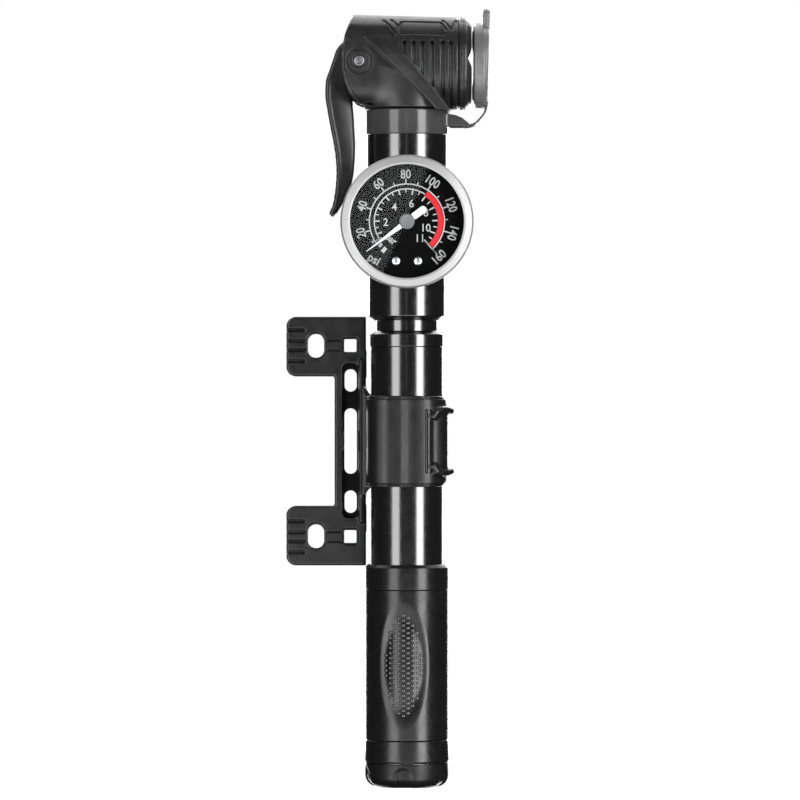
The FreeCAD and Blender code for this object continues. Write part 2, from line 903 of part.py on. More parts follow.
def gauge_housing_pieces():
    """Case, bezel, lens and dial, turned about the gauge's own axis along Y."""
    place = (0, 0, size.gauge_height)
    back, front = size.gauge_back, size.gauge_front
    saddle = new_body("gauge_saddle", place)
    pad(saddle, "boss", FRONT, [circle((0, 0), size.saddle_radius)], back, -6)
    seat = circle((0, 0), size.upper_high_radius)
    pocket(saddle, "tube_seat", TOP, [seat], -1 - size.saddle_radius, size.saddle_radius + 1)
    hole = circle((0, 0), size.stem_radius)
    pocket(saddle, "stem_hole", FRONT, [hole], back - 1, 0)

    case = [
        (back, size.stem_radius),
        (back, size.case_radius - 1.5),
        (back - 1.5, size.case_radius),
        (size.case_front, size.case_radius),
        (size.case_front, size.case_bore),
        (back - 0.6, size.case_bore),
        (back - 0.6, size.stem_radius),
    ]
    turned_piece("gauge_case", "Y", case, place)

    outer = size.bezel_radius
    opening = size.dial_opening
    bezel = [
        (size.bezel_rear, size.case_radius),
        (size.bezel_rear, outer),
        (front + 1.6, outer),
        (front + 0.4, outer - 0.6),
        (front, opening + 0.5),
        (front + 0.4, opening),
        (front + 0.8, opening),
        (front + 0.8, size.lens_radius),
        (size.case_front, size.lens_radius),
        (size.case_front, size.case_radius),
    ]
    turned_piece("gauge_bezel", "Y", bezel, place)
    lens_front, lens_back = front + 0.8, front + 2.4
    lens = [(lens_front, 0), (lens_front, size.lens_radius), (lens_back, size.lens_radius), (lens_back, 0)]
    turned_piece("gauge_lens", "Y", lens, place)

    dial = new_body("dial_plate", place)
    outlines = [circle((0, 0), size.case_bore), circle((0, 0), 0.8)]
    pad(dial, "disc", FRONT, outlines, size.dial_front, size.dial_front + size.dial_thickness)

    screws = new_body("dial_screws", place)
    screw_ring = [
        circle((side * size.dial_screw_side, size.dial_screw_drop), size.dial_screw_radius)
        for side in (-1, 1)
    ]
    pad(screws, "heads", FRONT, screw_ring, size.dial_front - 0.5, size.dial_front)


def gauge_movement_pieces():
    place = (0, 0, size.gauge_height)
    stem = new_body("gauge_stem", place)
    pad(stem, "shank", FRONT, [circle((0, 0), size.stem_radius)], -14.7, -10.5)
    pad(stem, "arm", FRONT, [rectangle(-2.5, 2.5, -2.5, 17.4)], -16.3, -14.7)
    pad(stem, "block", FRONT, [rectangle(-2.5, 0, 14.2, 17.8)], -21.9, -16.3)
    pocket(stem, "gas_way", FRONT, [circle((0, 0), 1.0)], -14.9, -10)

    bourdon = ring_outline(size.bourdon_inner, size.bourdon_outer, -21.6, -16.7)
    turned_piece("bourdon_tube", "Y", bourdon, place, 250.0)

    pitch = size.gear_module
    pinion_radius = pitch * size.pinion_teeth / 2
    sector_radius = pitch * size.sector_full_teeth / 2
    pivot_drop = pinion_radius + sector_radius

    frame = new_body("movement_frame", place)
    plate = rectangle(-4.5, 4.5, -pivot_drop - 2.5, 4.0)
    arbor_hole = circle((0, 0), 0.65)
    pivot_hole = circle((0, -pivot_drop), 0.65)
    pad(frame, "rear_plate", FRONT, [plate, arbor_hole, pivot_hole], -17.3, -16.5)
    pad(frame, "front_plate", FRONT, [plate, arbor_hole, pivot_hole], -21.6, -20.8)
    pillars = [rectangle(-4.3, -3.2, 2.6, 3.7), rectangle(3.2, 4.3, 2.6, 3.7)]
    pad(frame, "pillars", FRONT, pillars, -20.8, -17.3)

    tooth_root = pinion_radius - 0.36
    arbor = new_body("pointer_arbor", place)
    pad(arbor, "shaft", FRONT, [circle((0, 0), 0.6)], -24.3, -16.6)
    pad(arbor, "pinion_core", FRONT, [circle((0, 0), tooth_root)], -19.9, -17.9)
    add_teeth(arbor, -pinion_radius, (-19.9, -17.9), 360.0, size.pinion_teeth, 0)

    # The sector's own origin is its pivot. At rest a gap of its teeth faces the arbor.
    sector = new_body("sector_gear", (0, 0, size.gauge_height - pivot_drop))
    pad(sector, "hub", FRONT, [circle((0, 0), 1.6)], -19.5, -18.3)
    pad(sector, "pivot", FRONT, [circle((0, 0), 0.6)], -21.5, -16.6)
    tooth_step = 360.0 / size.sector_full_teeth.value
    rim_root = sector_radius - 0.36
    first = 90 + 1.5 * tooth_step
    count = size.sector_cut_teeth
    last = first - (count.value - 1) * tooth_step
    rim = ring_sector(rim_root - 1.0, rim_root, last - 2, first + 2)
    pad(sector, "rim", FRONT, [rim], -19.5, -18.3)
    middle = math.radians((first + last) / 2)
    reach = rim_root.value - 0.5
    arm_end = Vector(reach * math.cos(middle), reach * math.sin(middle), 0)
    side = Vector(-math.sin(middle), math.cos(middle), 0)
    corners = [side, arm_end + side, arm_end - side, -side]
    pad(sector, "arm", FRONT, [polygon(*[(c.x, c.y) for c in corners])], -19.5, -18.3)
    tail = polygon((0.8, 0.9), (-4.4, 2.6), (-4.7, 1.2), (-0.6, -0.9))
    pad(sector, "tail", FRONT, [tail], -19.5, -18.3)
    pad(sector, "tail_pin", FRONT, [circle((-3.9, 1.9), 0.35)], -20.6, -19.5)
    spread = (count - 1) * (360 / size.sector_full_teeth)
    add_teeth(sector, sector_radius, (-19.5, -18.3), spread, count, first - 90)

    link = new_body("bourdon_link", (-3.9, 0, size.gauge_height - pivot_drop + 1.9))
    bar = polygon((-0.8, -0.8), (0.8, -0.8), (0.8, 0.8), (-9.8, 2.5), (-9.8, 1.3))
    pad(link, "bar", FRONT, [bar, circle((0, 0), 0.4)], -20.4, -19.8)


def add_teeth(body, pitch_radius, levels, spread, count, lean):
    """Pads one straight-sided gear tooth and repeats it round the body's axis."""
    low, high = levels
    pitch_radius = sized(pitch_radius)
    outward = -1 if pitch_radius.value < 0 else 1
    turned = math.radians(lean)
    side = Vector(math.cos(turned), math.sin(turned), 0)
    away = Vector(-math.sin(turned), math.cos(turned), 0)
    half = size.tooth_width.value / 2
    rise, depth = size.tooth_rise.value, size.tooth_root.value
    flank = math.tan(math.radians(size.pressure_angle.value))
    root = pitch_radius.value - outward * depth
    tip = pitch_radius.value + outward * rise
    root_half = half + depth * flank
    tip_half = half - rise * flank
    corners = [
        away * root - side * root_half,
        away * tip - side * tip_half,
        away * tip + side * tip_half,
        away * root + side * root_half,
    ]
    outline = polygon(*[(corner.x, corner.y) for corner in corners])
    tooth = pad(body, "tooth", FRONT, [outline], low, high)
    pattern = body.newObject("PartDesign::PolarPattern", f"{body.Name}_teeth")
    pattern.Originals = [tooth]
    pattern.Axis = (origin_feature(body, "Y_Axis"), [""])
    pattern.setExpression("Angle", sized(spread).text)
    pattern.setExpression("Occurrences", count.text)
    body.Tip = pattern


def pointer_pieces():
    place = (0, 0, size.gauge_height)
    # The needle rests a little below the scale's first mark.
    rest = math.radians(216.5)
    along = Vector(math.cos(rest), math.sin(rest), 0)
    side = Vector(-along.y, along.x, 0)
    stations = [(16.7, 0.1), (0, 0.64), (-7.3, 0.95)]
    left = [along * reach + side * half for reach, half in stations]
    right = [along * reach - side * half for reach, half in reversed(stations)]
    needle = new_body("pointer_needle", place)
    blade = polygon(*[(corner.x, corner.y) for corner in left + right])
    pad(needle, "blade", FRONT, [blade], -24.7, -24.3)
    cap = [(-25.5, 0), (-25.5, 2.0), (-25.1, 2.5), (-24.7, 2.5), (-24.7, 0)]
    turned_piece("pointer_hub_cap", "Y", cap, place)


# ---------------------------------------------------------------- build, check and write

frame_bracket()
barrel_pieces()
check_valve_pieces()
upper_tube()
piston_pieces()
handle_pieces()
head_body()
valve_end_pieces()
lever_pieces()
cap_pieces()
gauge_housing_pieces()
gauge_movement_pieces()
pointer_pieces()
doc.recompute()

for entry in doc.Objects:
    if "Invalid" in entry.State or "Error" in entry.State:
        raise RuntimeError(f"{entry.Label} failed: {entry.State}")
os.makedirs("parts", exist_ok=True)
for piece in pieces:
    shape = piece.Shape
    if shape.isNull() or not shape.isValid() or not shape.Solids:
        raise RuntimeError(f"{piece.Label} has no sound shape")
    shape.exportStep(f"parts/{piece.Label}.step")
    print(f"{piece.Label}: {len(shape.Solids)} solid(s), {shape.Volume:.1f} mm3")
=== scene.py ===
"""Looks for the mini pump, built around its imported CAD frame.

Pieces are worked out in millimetres in the frame's own axes: the pump stands along Z, the dial
faces -Y, the valve nose points to +X and the bracket lies to -X.
"""

import functools
import math

import bpy
import numpy as np
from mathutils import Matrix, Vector


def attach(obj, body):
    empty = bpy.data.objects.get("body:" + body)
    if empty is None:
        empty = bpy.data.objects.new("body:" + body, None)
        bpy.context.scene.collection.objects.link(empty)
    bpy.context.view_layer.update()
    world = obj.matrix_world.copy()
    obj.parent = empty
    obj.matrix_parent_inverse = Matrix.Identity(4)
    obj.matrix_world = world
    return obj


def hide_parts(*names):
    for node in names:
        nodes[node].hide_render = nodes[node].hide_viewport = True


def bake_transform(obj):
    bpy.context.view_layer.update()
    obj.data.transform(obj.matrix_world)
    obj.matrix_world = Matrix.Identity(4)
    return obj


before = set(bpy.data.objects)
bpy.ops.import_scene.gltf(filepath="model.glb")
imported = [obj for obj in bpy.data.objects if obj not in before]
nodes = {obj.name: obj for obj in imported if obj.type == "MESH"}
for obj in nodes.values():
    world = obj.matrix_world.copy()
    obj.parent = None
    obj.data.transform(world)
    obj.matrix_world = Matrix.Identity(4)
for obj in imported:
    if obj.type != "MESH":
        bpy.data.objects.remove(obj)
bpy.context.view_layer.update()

# Millimetres in metres; how near the axis counts as on it; and the pump's main places and radii in mm.
MM = 0.001
TINY = 1e-6
NOSE_HEIGHT = 243.0
NOSE_RADIUS = 15.55
PIN = (-15.9, 243.3)
GAUGE_HEIGHT = 189.4
BOLT_MIDDLE = 116.5
BARREL_RADIUS = 12.05
CLIP_BORE = 12.1
COLLAR_RADIUS = 13.85
GRIP_RADIUS = 13.95


# ---- materials


class Recipe:
    """A node material with a Principled shader and short ways to feed it."""

    def __init__(self, name):
        self.material = bpy.data.materials.new(name)
        self.material.use_nodes = True
        self.tree = self.material.node_tree
        self.shader = self.tree.nodes["Principled BSDF"]
        self.place = self.add("TexCoord").outputs["Object"]

    def add(self, kind, feeds=(), **settings):
        """A new node with its settings, and what its sockets are fed."""
        node = self.tree.nodes.new("ShaderNode" + kind)
        for key, value in settings.items():
            setattr(node, key, value)
        self.feed(node, dict(feeds))
        return node

    def feed(self, node, feeds):
        """Links a socket to another node's output, or sets it to a plain value."""
        for key, value in feeds.items():
            if isinstance(value, bpy.types.NodeSocket):
                self.tree.links.new(value, node.inputs[key])
            else:
                node.inputs[key].default_value = value

    def noise(self, scale, detail=3.0, stretch=(1, 1, 1)):
        """Noise over the object, finer along an axis where stretch is larger."""
        mapping = self.add("Mapping", {"Vector": self.place, "Scale": stretch})
        feeds = {"Vector": mapping.outputs[0], "Scale": scale, "Detail": detail, "Roughness": 0.55}
        return self.add("TexNoise", feeds).outputs["Fac"]

    def spread(self, source, low, high, start=0.3, end=0.7):
        """Maps the part of a pattern from start to end onto low to high."""
        feeds = {"Value": source, "From Min": start, "From Max": end, "To Min": low, "To Max": high}
        return self.add("MapRange", feeds).outputs["Result"]

    def tint(self, source, colour, dark, light):
        """Colours a pattern from a darker to a lighter share of a colour."""
        ramp = self.add("ValToRGB", {"Fac": source})
        for element, position, share in zip(ramp.color_ramp.elements, (0.3, 0.7), (dark, light)):
            element.position = position
            element.color = (*(c * share for c in colour), 1)
        self.feed(self.shader, {"Base Color": ramp.outputs["Color"]})

    def gloss(self, source, roughness, below, above):
        """Lets the roughness wander with a pattern."""
        rough = self.spread(source, roughness - below, roughness + above)
        self.feed(self.shader, {"Roughness": rough})

    def dull_pocket(self):
        """Painted shade on the floor of the plate's long channel: a much lower specular level there makes the
        recess look darker.
        """
        split = self.add("SeparateXYZ", {0: self.place})
        # Normal specular level outside the channel, a low one on its floor as painted shade.
        shiny, shaded = 0.5, 0.06
        level = None
        for axis, low, high, first, last in (
                ("Y", 6.1, 6.9, shiny, shaded), ("Y", 8.55, 8.85, shaded, shiny),
                ("X", -15.4, -14.9, shaded, shiny), ("X", -22.6, -22.2, shiny, shaded)):
            edge = self.spread(split.outputs[axis], first, last, low * MM, high * MM)
            if level:
                edge = self.add("Math", {0: level, 1: edge}, operation="MAXIMUM").outputs[0]
            level = edge
        self.feed(self.shader, {"Specular IOR Level": level})

    def bump(self, source, strength, depth):
        """Raises the surface by a pattern, depth in mm. Later bumps ride on earlier ones."""
        feeds = {"Height": source, "Strength": strength, "Distance": depth * MM}
        for earlier in self.shader.inputs["Normal"].links:
            feeds["Normal"] = earlier.from_socket
        self.feed(self.shader, {"Normal": self.add("Bump", feeds).outputs["Normal"]})


def plastic(name, colour, roughness, grain, depth, ior=1.47, level=0.5, channel_shade=False):
    """Moulded plastic or rubber: fine grain, cloudy tone and slightly uneven gloss."""
    recipe = Recipe(name)
    recipe.feed(recipe.shader, {"IOR": ior, "Specular IOR Level": level})
    # Painted shade on the plate's channel floor, where asked for.
    if channel_shade:
        recipe.dull_pocket()
    recipe.tint(recipe.noise(90, 4.0), colour, 0.82, 1.2)
    fine = recipe.noise(grain, 2.0)
    patchy = recipe.noise(grain * 0.11)
    recipe.gloss(patchy, roughness, 0.05, 0.06)
    recipe.bump(patchy, 0.25, depth * 2.0)
    recipe.bump(fine, 0.6, depth)
    return recipe.material


def polished(name, colour, roughness, lines, depth, stretch, metallic=0.0, ior=1.5):
    """A turned or drawn surface with fine lines across its axis."""
    recipe = Recipe(name)
    recipe.feed(recipe.shader, {"IOR": ior, "Metallic": metallic})
    recipe.tint(recipe.noise(60), colour, 0.9, 1.1)
    drawn = recipe.noise(lines, 2.0, stretch)
    recipe.gloss(recipe.noise(350), roughness, 0.025, 0.03)
    recipe.bump(drawn, 0.35, depth)
    return recipe.material


def ringed(name, colour, roughness, depth):
    """Satin metal turned about the gauge's axis: lines in circles round it."""
    recipe = Recipe(name)
    recipe.feed(recipe.shader, {"Metallic": 0.55})
    split = recipe.add("SeparateXYZ", {0: recipe.place}).outputs
    height = recipe.add("Math", {0: split["Z"], 1: GAUGE_HEIGHT * MM}, operation="SUBTRACT")
    flat = recipe.add("CombineXYZ", {"X": split["X"], "Y": height.outputs[0]})
    reach = recipe.add("VectorMath", {0: flat.outputs[0]}, operation="LENGTH")
    rings = recipe.add("CombineXYZ", {"X": reach.outputs["Value"], "Y": split["Y"]})
    lines = recipe.add("TexNoise", {"Vector": rings.outputs[0], "Scale": 5200, "Detail": 2.5})
    recipe.tint(recipe.noise(140), colour, 0.94, 1.05)
    recipe.gloss(lines.outputs["Fac"], roughness, 0.08, 0.08)
    recipe.bump(lines.outputs["Fac"], 0.5, depth)
    return recipe.material


def clear_lens():
    """Thin clear window: what lies behind shows through, and lights glance off it."""
    recipe = Recipe("lens_clear")
    recipe.tree.nodes.remove(recipe.shader)
    through = recipe.add("BsdfTransparent", {"Color": (0.985, 0.99, 0.99, 1)})
    glance = recipe.add("BsdfGlossy", {"Roughness": 0.015})
    mix = recipe.add("MixShader", {0: 0.012, 1: through.outputs[0], 2: glance.outputs[0]})
    recipe.feed(recipe.tree.nodes["Material Output"], {"Surface": mix.outputs[0]})
    return recipe.material


BLACK = (0.006, 0.006, 0.0064)
UPRIGHT = (0.12, 0.12, 4.0)
ALL_WAYS = (1, 1, 1)
FINISH = {
    # The bracket's plastic carries painted shade in its channel.
    "bracket_plastic": plastic("bracket_plastic_grain", (0.005, 0.005, 0.0053), 0.38, 2600, 0.022,
                               channel_shade=True),
    "moulded_black": plastic("moulded_black_satin", BLACK, 0.25, 3000, 0.008, ior=1.44),
    "grip_plastic": plastic("grip_black_grain", BLACK, 0.26, 2700, 0.012, ior=1.42),
    "anodised_black": polished("anodised_gloss", (0.003, 0.003, 0.0032), 0.17, 900, 0.002, UPRIGHT, ior=2.0),
    "aluminium_plain": polished("aluminium_drawn", (0.62, 0.62, 0.64), 0.32, 900, 0.006, UPRIGHT, 1.0),
    "seal_rubber": plastic("seal_rubber_matt", (0.018, 0.018, 0.018), 0.55, 2400, 0.015),
    "grey_rubber": plastic("grey_rubber_satin", (0.052, 0.052, 0.053), 0.15, 2200, 0.003),
    "brass": polished("brass_turned", (0.78, 0.57, 0.26), 0.28, 900, 0.006, UPRIGHT, 1.0),
    "steel": polished("steel_bright", (0.24, 0.24, 0.245), 0.4, 1200, 0.006, ALL_WAYS, 1.0),
    "bezel_metal": ringed("bezel_turned", (0.38, 0.38, 0.38), 0.5, 0.012),
    "lens_glass": clear_lens(),
    "dial_black": plastic("dial_face_black", (0.002, 0.002, 0.0022), 0.7, 3200, 0.004, level=0.04),
    "pointer_white": plastic("pointer_paint", (0.82, 0.83, 0.84), 0.38, 2600, 0.004),
}
PRINT_WHITE = plastic("print_white", (0.42, 0.42, 0.42), 0.55, 3200, 0.003)
# Lighter grey than the ring's rubber: painted light, standing in for the front light that the cap's face
# catches.
CAP_RUBBER_LIT = plastic("cap_rubber_painted_light", (0.13, 0.13, 0.131), 0.3, 2200, 0.008)
HEAD_SATIN = plastic("head_black_satin", (0.013, 0.013, 0.0134), 0.37, 3000, 0.012)
END_MATT = plastic("end_cap_matt", BLACK, 0.36, 2800, 0.02, ior=1.31)
DOT_RUBBER = plastic("grip_dot_gloss", (0.004, 0.004, 0.0044), 0.22, 2700, 0.004, ior=1.7)
HUB_GREY = plastic("hub_grey", (0.17, 0.17, 0.172), 0.3, 2600, 0.004)
SCREW_BRIGHT = polished("screw_bright", (0.7, 0.7, 0.71), 0.36, 1200, 0.004, ALL_WAYS, 1.0)
PRINT_RED = plastic("print_red", (0.62, 0.004, 0.014), 0.5, 3200, 0.003)


# ---- pieces and meshes


def polar(reach, turn):
    """A point in a plane at a distance and a turn in radians."""
    return reach * math.cos(turn), reach * math.sin(turn)


def put(name, data):
    """Puts a new object into the scene."""
    thing = bpy.data.objects.new(name, data)
    bpy.context.scene.collection.objects.link(thing)
    return thing


def add_piece(name, points, faces, body, slot, replaced=(), normals=None, material=None, smooth=True):
    """Makes one shown piece from points in mm, riding on a body."""
    mesh = bpy.data.meshes.new(name)
    mesh.from_pydata((np.asarray(points, float) * MM).tolist(), [], [list(face) for face in faces])
    mesh.polygons.foreach_set("use_smooth", [smooth] * len(mesh.polygons))
    mesh.update()
    if normals is not None:
        lengths = np.linalg.norm(normals, axis=1, keepdims=True)
        mesh.normals_split_custom_set_from_vertices((normals / np.maximum(lengths, 1e-9)).tolist())
    piece = put(name, mesh)
    mesh.materials.append(material or FINISH[slot])
    if body:
        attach(piece, body)
    if replaced:
        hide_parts(*replaced)
    return piece


def stack_faces(start, count, levels):
    """Faces of a stack of outlines of count points, closed at both ends."""
    last = start + (levels - 1) * count
    faces = []
    for a in range(start, last, count):
        for k in range(count):
            after = (k + 1) % count
            faces.append((a + k, a + after, a + count + after, a + count + k))
    return faces + [tuple(range(start, start + count))[::-1], tuple(range(last, last + count))]


def add_button(points, faces, place, rings, top, floor, columns):
    """Adds a small round button; place(side, up, lift) puts a point of it where it belongs."""
    start = len(points)
    turns = np.arange(columns) * 2 * math.pi / columns
    for reach, lift in rings:
        points += [place(*polar(reach, turn), lift) for turn in turns]
    points += [place(0, 0, top), place(0, 0, floor)]
    crown = start + len(rings) * columns
    edge = crown - columns
    for k in range(columns):
        after = (k + 1) % columns
        for a in range(start, edge, columns):
            faces.append((a + k, a + after, a + columns + after, a + columns + k))
        faces += [(edge + k, edge + after, crown), (start + after, start + k, crown + 1)]


def placed(along, out_a, out_b, axis, centre):
    """Puts turned coordinates onto an axis of the frame, right-handed each time."""
    stacks = {"Z": (out_a, out_b, along), "X": (along, out_a, out_b), "Y": (out_b, along, out_a)}
    return np.stack(stacks[axis], axis=-1) + np.asarray(centre, float)


# Rounding of a turned corner that names none.
EDGE = 0.15


def rounded_profile(corners, row=None):
    """Rounds the corners (along, radius, rounding) of a turned outline and gives its normals.
    An outline that starts and ends on the axis stays open there."""
    corners = np.array([tuple(corner) + (EDGE,) * (3 - len(corner)) for corner in corners])
    is_open = corners[0, 1] < TINY and corners[-1, 1] < TINY
    along, radius = corners[:, 0], corners[:, 1]
    if np.sum(along * np.roll(radius, -1) - np.roll(along, -1) * radius) < 0:
        corners = corners[::-1]
    spots = corners[:, :2]
    made = []
    for index, here in enumerate(spots):
        before = here - spots[index - 1]
        after = spots[(index + 1) % len(spots)] - here
        size_before, size_after = np.linalg.norm(before), np.linalg.norm(after)
        before, after = before / max(size_before, 1e-9), after / max(size_after, 1e-9)
        out_before = np.array([before[1], -before[0]])
        out_after = np.array([after[1], -after[0]])
        if here[1] < TINY:
            made.append((*here, *(out_before if index else out_after)))
            continue
        turn = math.acos(np.clip(before @ after, -1, 1))
        room = 0.48 * min(size_before, size_after)
        reach = min(corners[index, 2] * math.tan(turn / 2), room) if turn > 0.02 else 0.0
        if reach < 1e-4:
            made.append((*here, *(out_before + out_after)))
            continue
        steps = max(2, math.ceil(math.degrees(turn) / 18))
        radius = reach / math.tan(turn / 2)
        sign = 1 if before[0] * after[1] > before[1] * after[0] else -1
        middle = here - before * reach - out_before * radius * sign
        for step in range(steps + 1):
            lean = turn * step / steps * sign
            cos, sin = math.cos(lean), math.sin(lean)
            out = np.array([[cos, -sin], [sin, cos]]) @ out_before
            made.append((*(middle + out * radius * sign), *out))
    made = np.array(made)
    if row:
        dense = []
        last = len(made) - (1 if is_open else 0)
        for index in range(last):
            a, b = made[index], made[(index + 1) % len(made)]
            parts = max(1, int(np.linalg.norm(b[:2] - a[:2]) / row))
            if max(a[1], b[1]) < row * 12 and not is_open:
                parts = 1
            dense += [a + (b - a) * part / parts for part in range(parts)]
        if is_open:
            dense.append(made[-1])
        made = np.array(dense)
    return made, is_open


def add_turned(name, grid, normals, profile, is_open, *finish):
    """Adds a turned grid of rows and columns as a piece; a row on the axis is one point."""
    poles = profile[:, 1] < TINY
    rows, columns = grid.shape[:2]
    kept = [slice(0, 1 if pole else columns) for pole in poles]
    starts = np.cumsum([0] + [part.stop for part in kept]).tolist()
    faces = []
    for row in range(rows - 1 if is_open else rows):
        after = (row + 1) % rows
        for column in range(columns):
            beside = (column + 1) % columns
            corners = [starts[level] + (0 if poles[level] else spot)
                       for level, spot in ((row, column), (row, beside), (after, beside), (after, column))]
            faces.append([p for k, p in enumerate(corners) if p != corners[k - 1]][::-1])
    points, normals = (np.concatenate([a[k, part] for k, part in enumerate(kept)]) for a in (grid, normals))
    body, slot, replaced, material = finish
    return add_piece(name, points, faces, body, slot, replaced, normals, material)


def swept(profile, columns):
    """Angles round a turned piece, its outline and normals as columns, and the angles' directions."""
    angles = np.arange(columns) * 2 * math.pi / columns
    return angles, *(profile[:, k, None] for k in range(4)), np.cos(angles), np.sin(angles), 0 * angles


def turned(name, axis, corners, body, slot, replaced=(), centre=(0, 0, 0), columns=128, material=None):
    """A turned piece with rounded corners and exact shading."""
    profile, is_open = rounded_profile(corners)
    angles, along, radius, n_along, n_radius, cos, sin, level = swept(profile, columns)
    grid = placed(along + level, radius * cos, radius * sin, axis, centre)
    normals = placed(n_along + level, n_radius * cos, n_radius * sin, axis, (0, 0, 0))
    return add_turned(name, grid, normals, profile, is_open, body, slot, replaced, material)


def turned_relief(name, corners, relief, body, slot, replaced=(), columns=240, material=None):
    """A piece turned about Z whose surface is raised by relief(angle, height, radius) in mm."""
    profile, is_open = rounded_profile(corners, 0.4)
    angles, along, radius, n_along, n_radius, cos, sin, level = swept(profile, columns)
    raised = relief(angles[None, :], along + level, radius + level)
    reach = np.maximum(radius + raised * n_radius, 0)
    grid = placed(along + raised * n_along, reach * cos, reach * sin, "Z", (0, 0, 0))
    across = np.roll(grid, -1, axis=1) - np.roll(grid, 1, axis=1)
    along_way = np.roll(grid, -1, axis=0) - np.roll(grid, 1, axis=0)
    if is_open:
        along_way[0] = grid[1] - grid[0]
        along_way[-1] = grid[-1] - grid[-2]
    normal = np.cross(along_way, across)
    base = placed(n_along + level, n_radius * cos, n_radius * sin, "Z", (0, 0, 0))
    normal *= np.where(np.sum(normal * base, axis=-1, keepdims=True) < 0, -1, 1)
    weak = (np.linalg.norm(normal, axis=-1, keepdims=True) < 1e-9) | (radius < TINY)[..., None]
    normal = np.where(weak, base, normal)
    return add_turned(name, grid, normal, profile, is_open, body, slot, replaced, material)


# ---- distance fields


def join(a, b, soft):
    """Union of two fields with a fillet."""
    reach = np.maximum(soft - np.abs(a - b), 0) / soft
    return np.minimum(a, b) - reach * reach * soft / 4


def both(a, b, soft):
    """Intersection of two fields with a rounded edge."""
    return -join(-a, -b, soft)


def less(a, b, soft):
    """Field a with b taken away."""
    return -join(-a, b, soft)


def meet(*fields):
    """Sharp intersection of any number of fields."""
    return functools.reduce(np.maximum, fields)


def between(value, low, high):
    """A slab from low to high."""
    return np.maximum(low - value, value - high)


def unit(value):
    """Held between 0 and 1."""
    return np.clip(value, 0, 1)


def ease(value):
    """A soft step from 0 to 1."""
    value = unit(value)
    return value * value * (3 - 2 * value)


def box_2d(u, v, middle_u, middle_v, half_u, half_v, corner):
    """Distance to a rectangle with rounded corners."""
    a = np.abs(u - middle_u) - half_u + corner
    b = np.abs(v - middle_v) - half_v + corner
    return np.hypot(np.maximum(a, 0), np.maximum(b, 0)) + np.minimum(np.maximum(a, b), 0) - corner


def line_distance(u, v, spots):
    """Distance to an open line through the spots."""
    best = None
    for (u0, v0), (u1, v1) in zip(spots, spots[1:]):
        du, dv = u1 - u0, v1 - v0
        share = unit(((u - u0) * du + (v - v0) * dv) / (du * du + dv * dv))
        gap = (u - u0 - share * du) ** 2 + (v - v0 - share * dv) ** 2
        best = gap if best is None else np.minimum(best, gap)
    return np.sqrt(best)


def outline_distance(u, v, spots):
    """Signed distance to a closed outline, negative inside."""
    closed = list(spots) + [spots[0]]
    inside = None
    for (u0, v0), (u1, v1) in zip(closed, closed[1:]):
        crosses = (v0 > v) != (v1 > v)
        rise = v1 - v0 if v1 != v0 else 1e-9
        hit = crosses & (u < (u1 - u0) * (v - v0) / rise + u0)
        inside = hit if inside is None else inside ^ hit
    return np.where(inside, -1, 1) * line_distance(u, v, closed)


def smooth_line(spots, parts=5, closed=False):
    """A curve through the spots, as short straight runs."""
    spots = [np.array(spot, float) for spot in spots]
    count = len(spots)
    made = []
    for index in range(count if closed else count - 1):
        near = [index + k for k in (-1, 0, 1, 2)]
        p = [spots[k % count if closed else min(max(k, 0), count - 1)] for k in near]
        for part in range(parts):
            t = part / parts
            square = (2 * p[0] - 5 * p[1] + 4 * p[2] - p[3]) * t ** 2
            cube = (3 * p[1] - p[0] - 3 * p[2] + p[3]) * t ** 3
            made.append(0.5 * (2 * p[1] + (p[2] - p[0]) * t + square + cube))
    if not closed:
        made.append(spots[-1])
    return [tuple(spot) for spot in made]


def surface(name, field, low, high, step, body, slot, replaced=(), material=None):
    """Meshes the zero surface of a distance field, then settles its points onto it."""
    axes = [np.arange(a, b + step, step) for a, b in zip(low, high)]
    grid = field(axes[0][:, None, None], axes[1][None, :, None], axes[2][None, None, :])
    inside = grid < 0
    full = [slice(None, -1), slice(1, None)]
    corners = [(i, j, k) for i in (0, 1) for j in (0, 1) for k in (0, 1)]
    filled = sum(inside[full[i], full[j], full[k]].astype(np.int8) for i, j, k in corners)
    cells = np.argwhere((filled > 0) & (filled < 8))
    number = np.full([len(a) - 1 for a in axes], -1, np.int64)
    number[tuple(cells.T)] = np.arange(len(cells))
    total = np.zeros((len(cells), 3))
    hits = np.zeros(len(cells))
    for first in corners:
        for axis in range(3):
            if first[axis]:
                continue
            second = list(first)
            second[axis] = 1
            va = grid[tuple((cells + first).T)]
            vb = grid[tuple((cells + second).T)]
            cross = (va < 0) != (vb < 0)
            share = va[cross] / (va[cross] - vb[cross])
            spot = np.tile(np.array(first, float), (cross.sum(), 1))
            spot[:, axis] = share
            total[cross] += spot
            hits[cross] += 1
    points = (cells + total / hits[:, None]) * step + np.array(low)
    faces = []
    for axis in range(3):
        u, v = (axis + 1) % 3, (axis + 2) % 3
        spots = np.argwhere(np.diff(inside, axis=axis))
        keep = (spots[:, u] > 0) & (spots[:, v] > 0)
        keep &= (spots[:, u] < number.shape[u]) & (spots[:, v] < number.shape[v])
        spots = spots[keep]
        way_u, way_v = np.eye(3, dtype=int)[[u, v]]
        quad = np.stack([number[tuple((spots + du * way_u + dv * way_v).T)]
                         for du, dv in ((-1, -1), (0, -1), (0, 0), (-1, 0))], axis=1)
        outward = inside[tuple(spots.T)]
        quad[~outward] = quad[~outward][:, ::-1]
        faces.append(quad)
    faces = np.concatenate(faces)

    def slope(at, reach):
        sides = [field(*(at + shift).T) - field(*(at - shift).T) for shift in np.eye(3) * reach]
        return np.stack(sides, axis=1) / (2 * reach)

    for _ in range(3):
        lean = slope(points, step * 0.25)
        steep = np.maximum(np.sum(lean * lean, axis=1, keepdims=True), 0.05)
        move = field(*points.T)[:, None] * lean / steep
        points = points - np.clip(move, -step * 0.5, step * 0.5)
    return add_piece(name, points, faces, body, slot, replaced, slope(points, step * 0.3), material)


# ---- barrel and handle


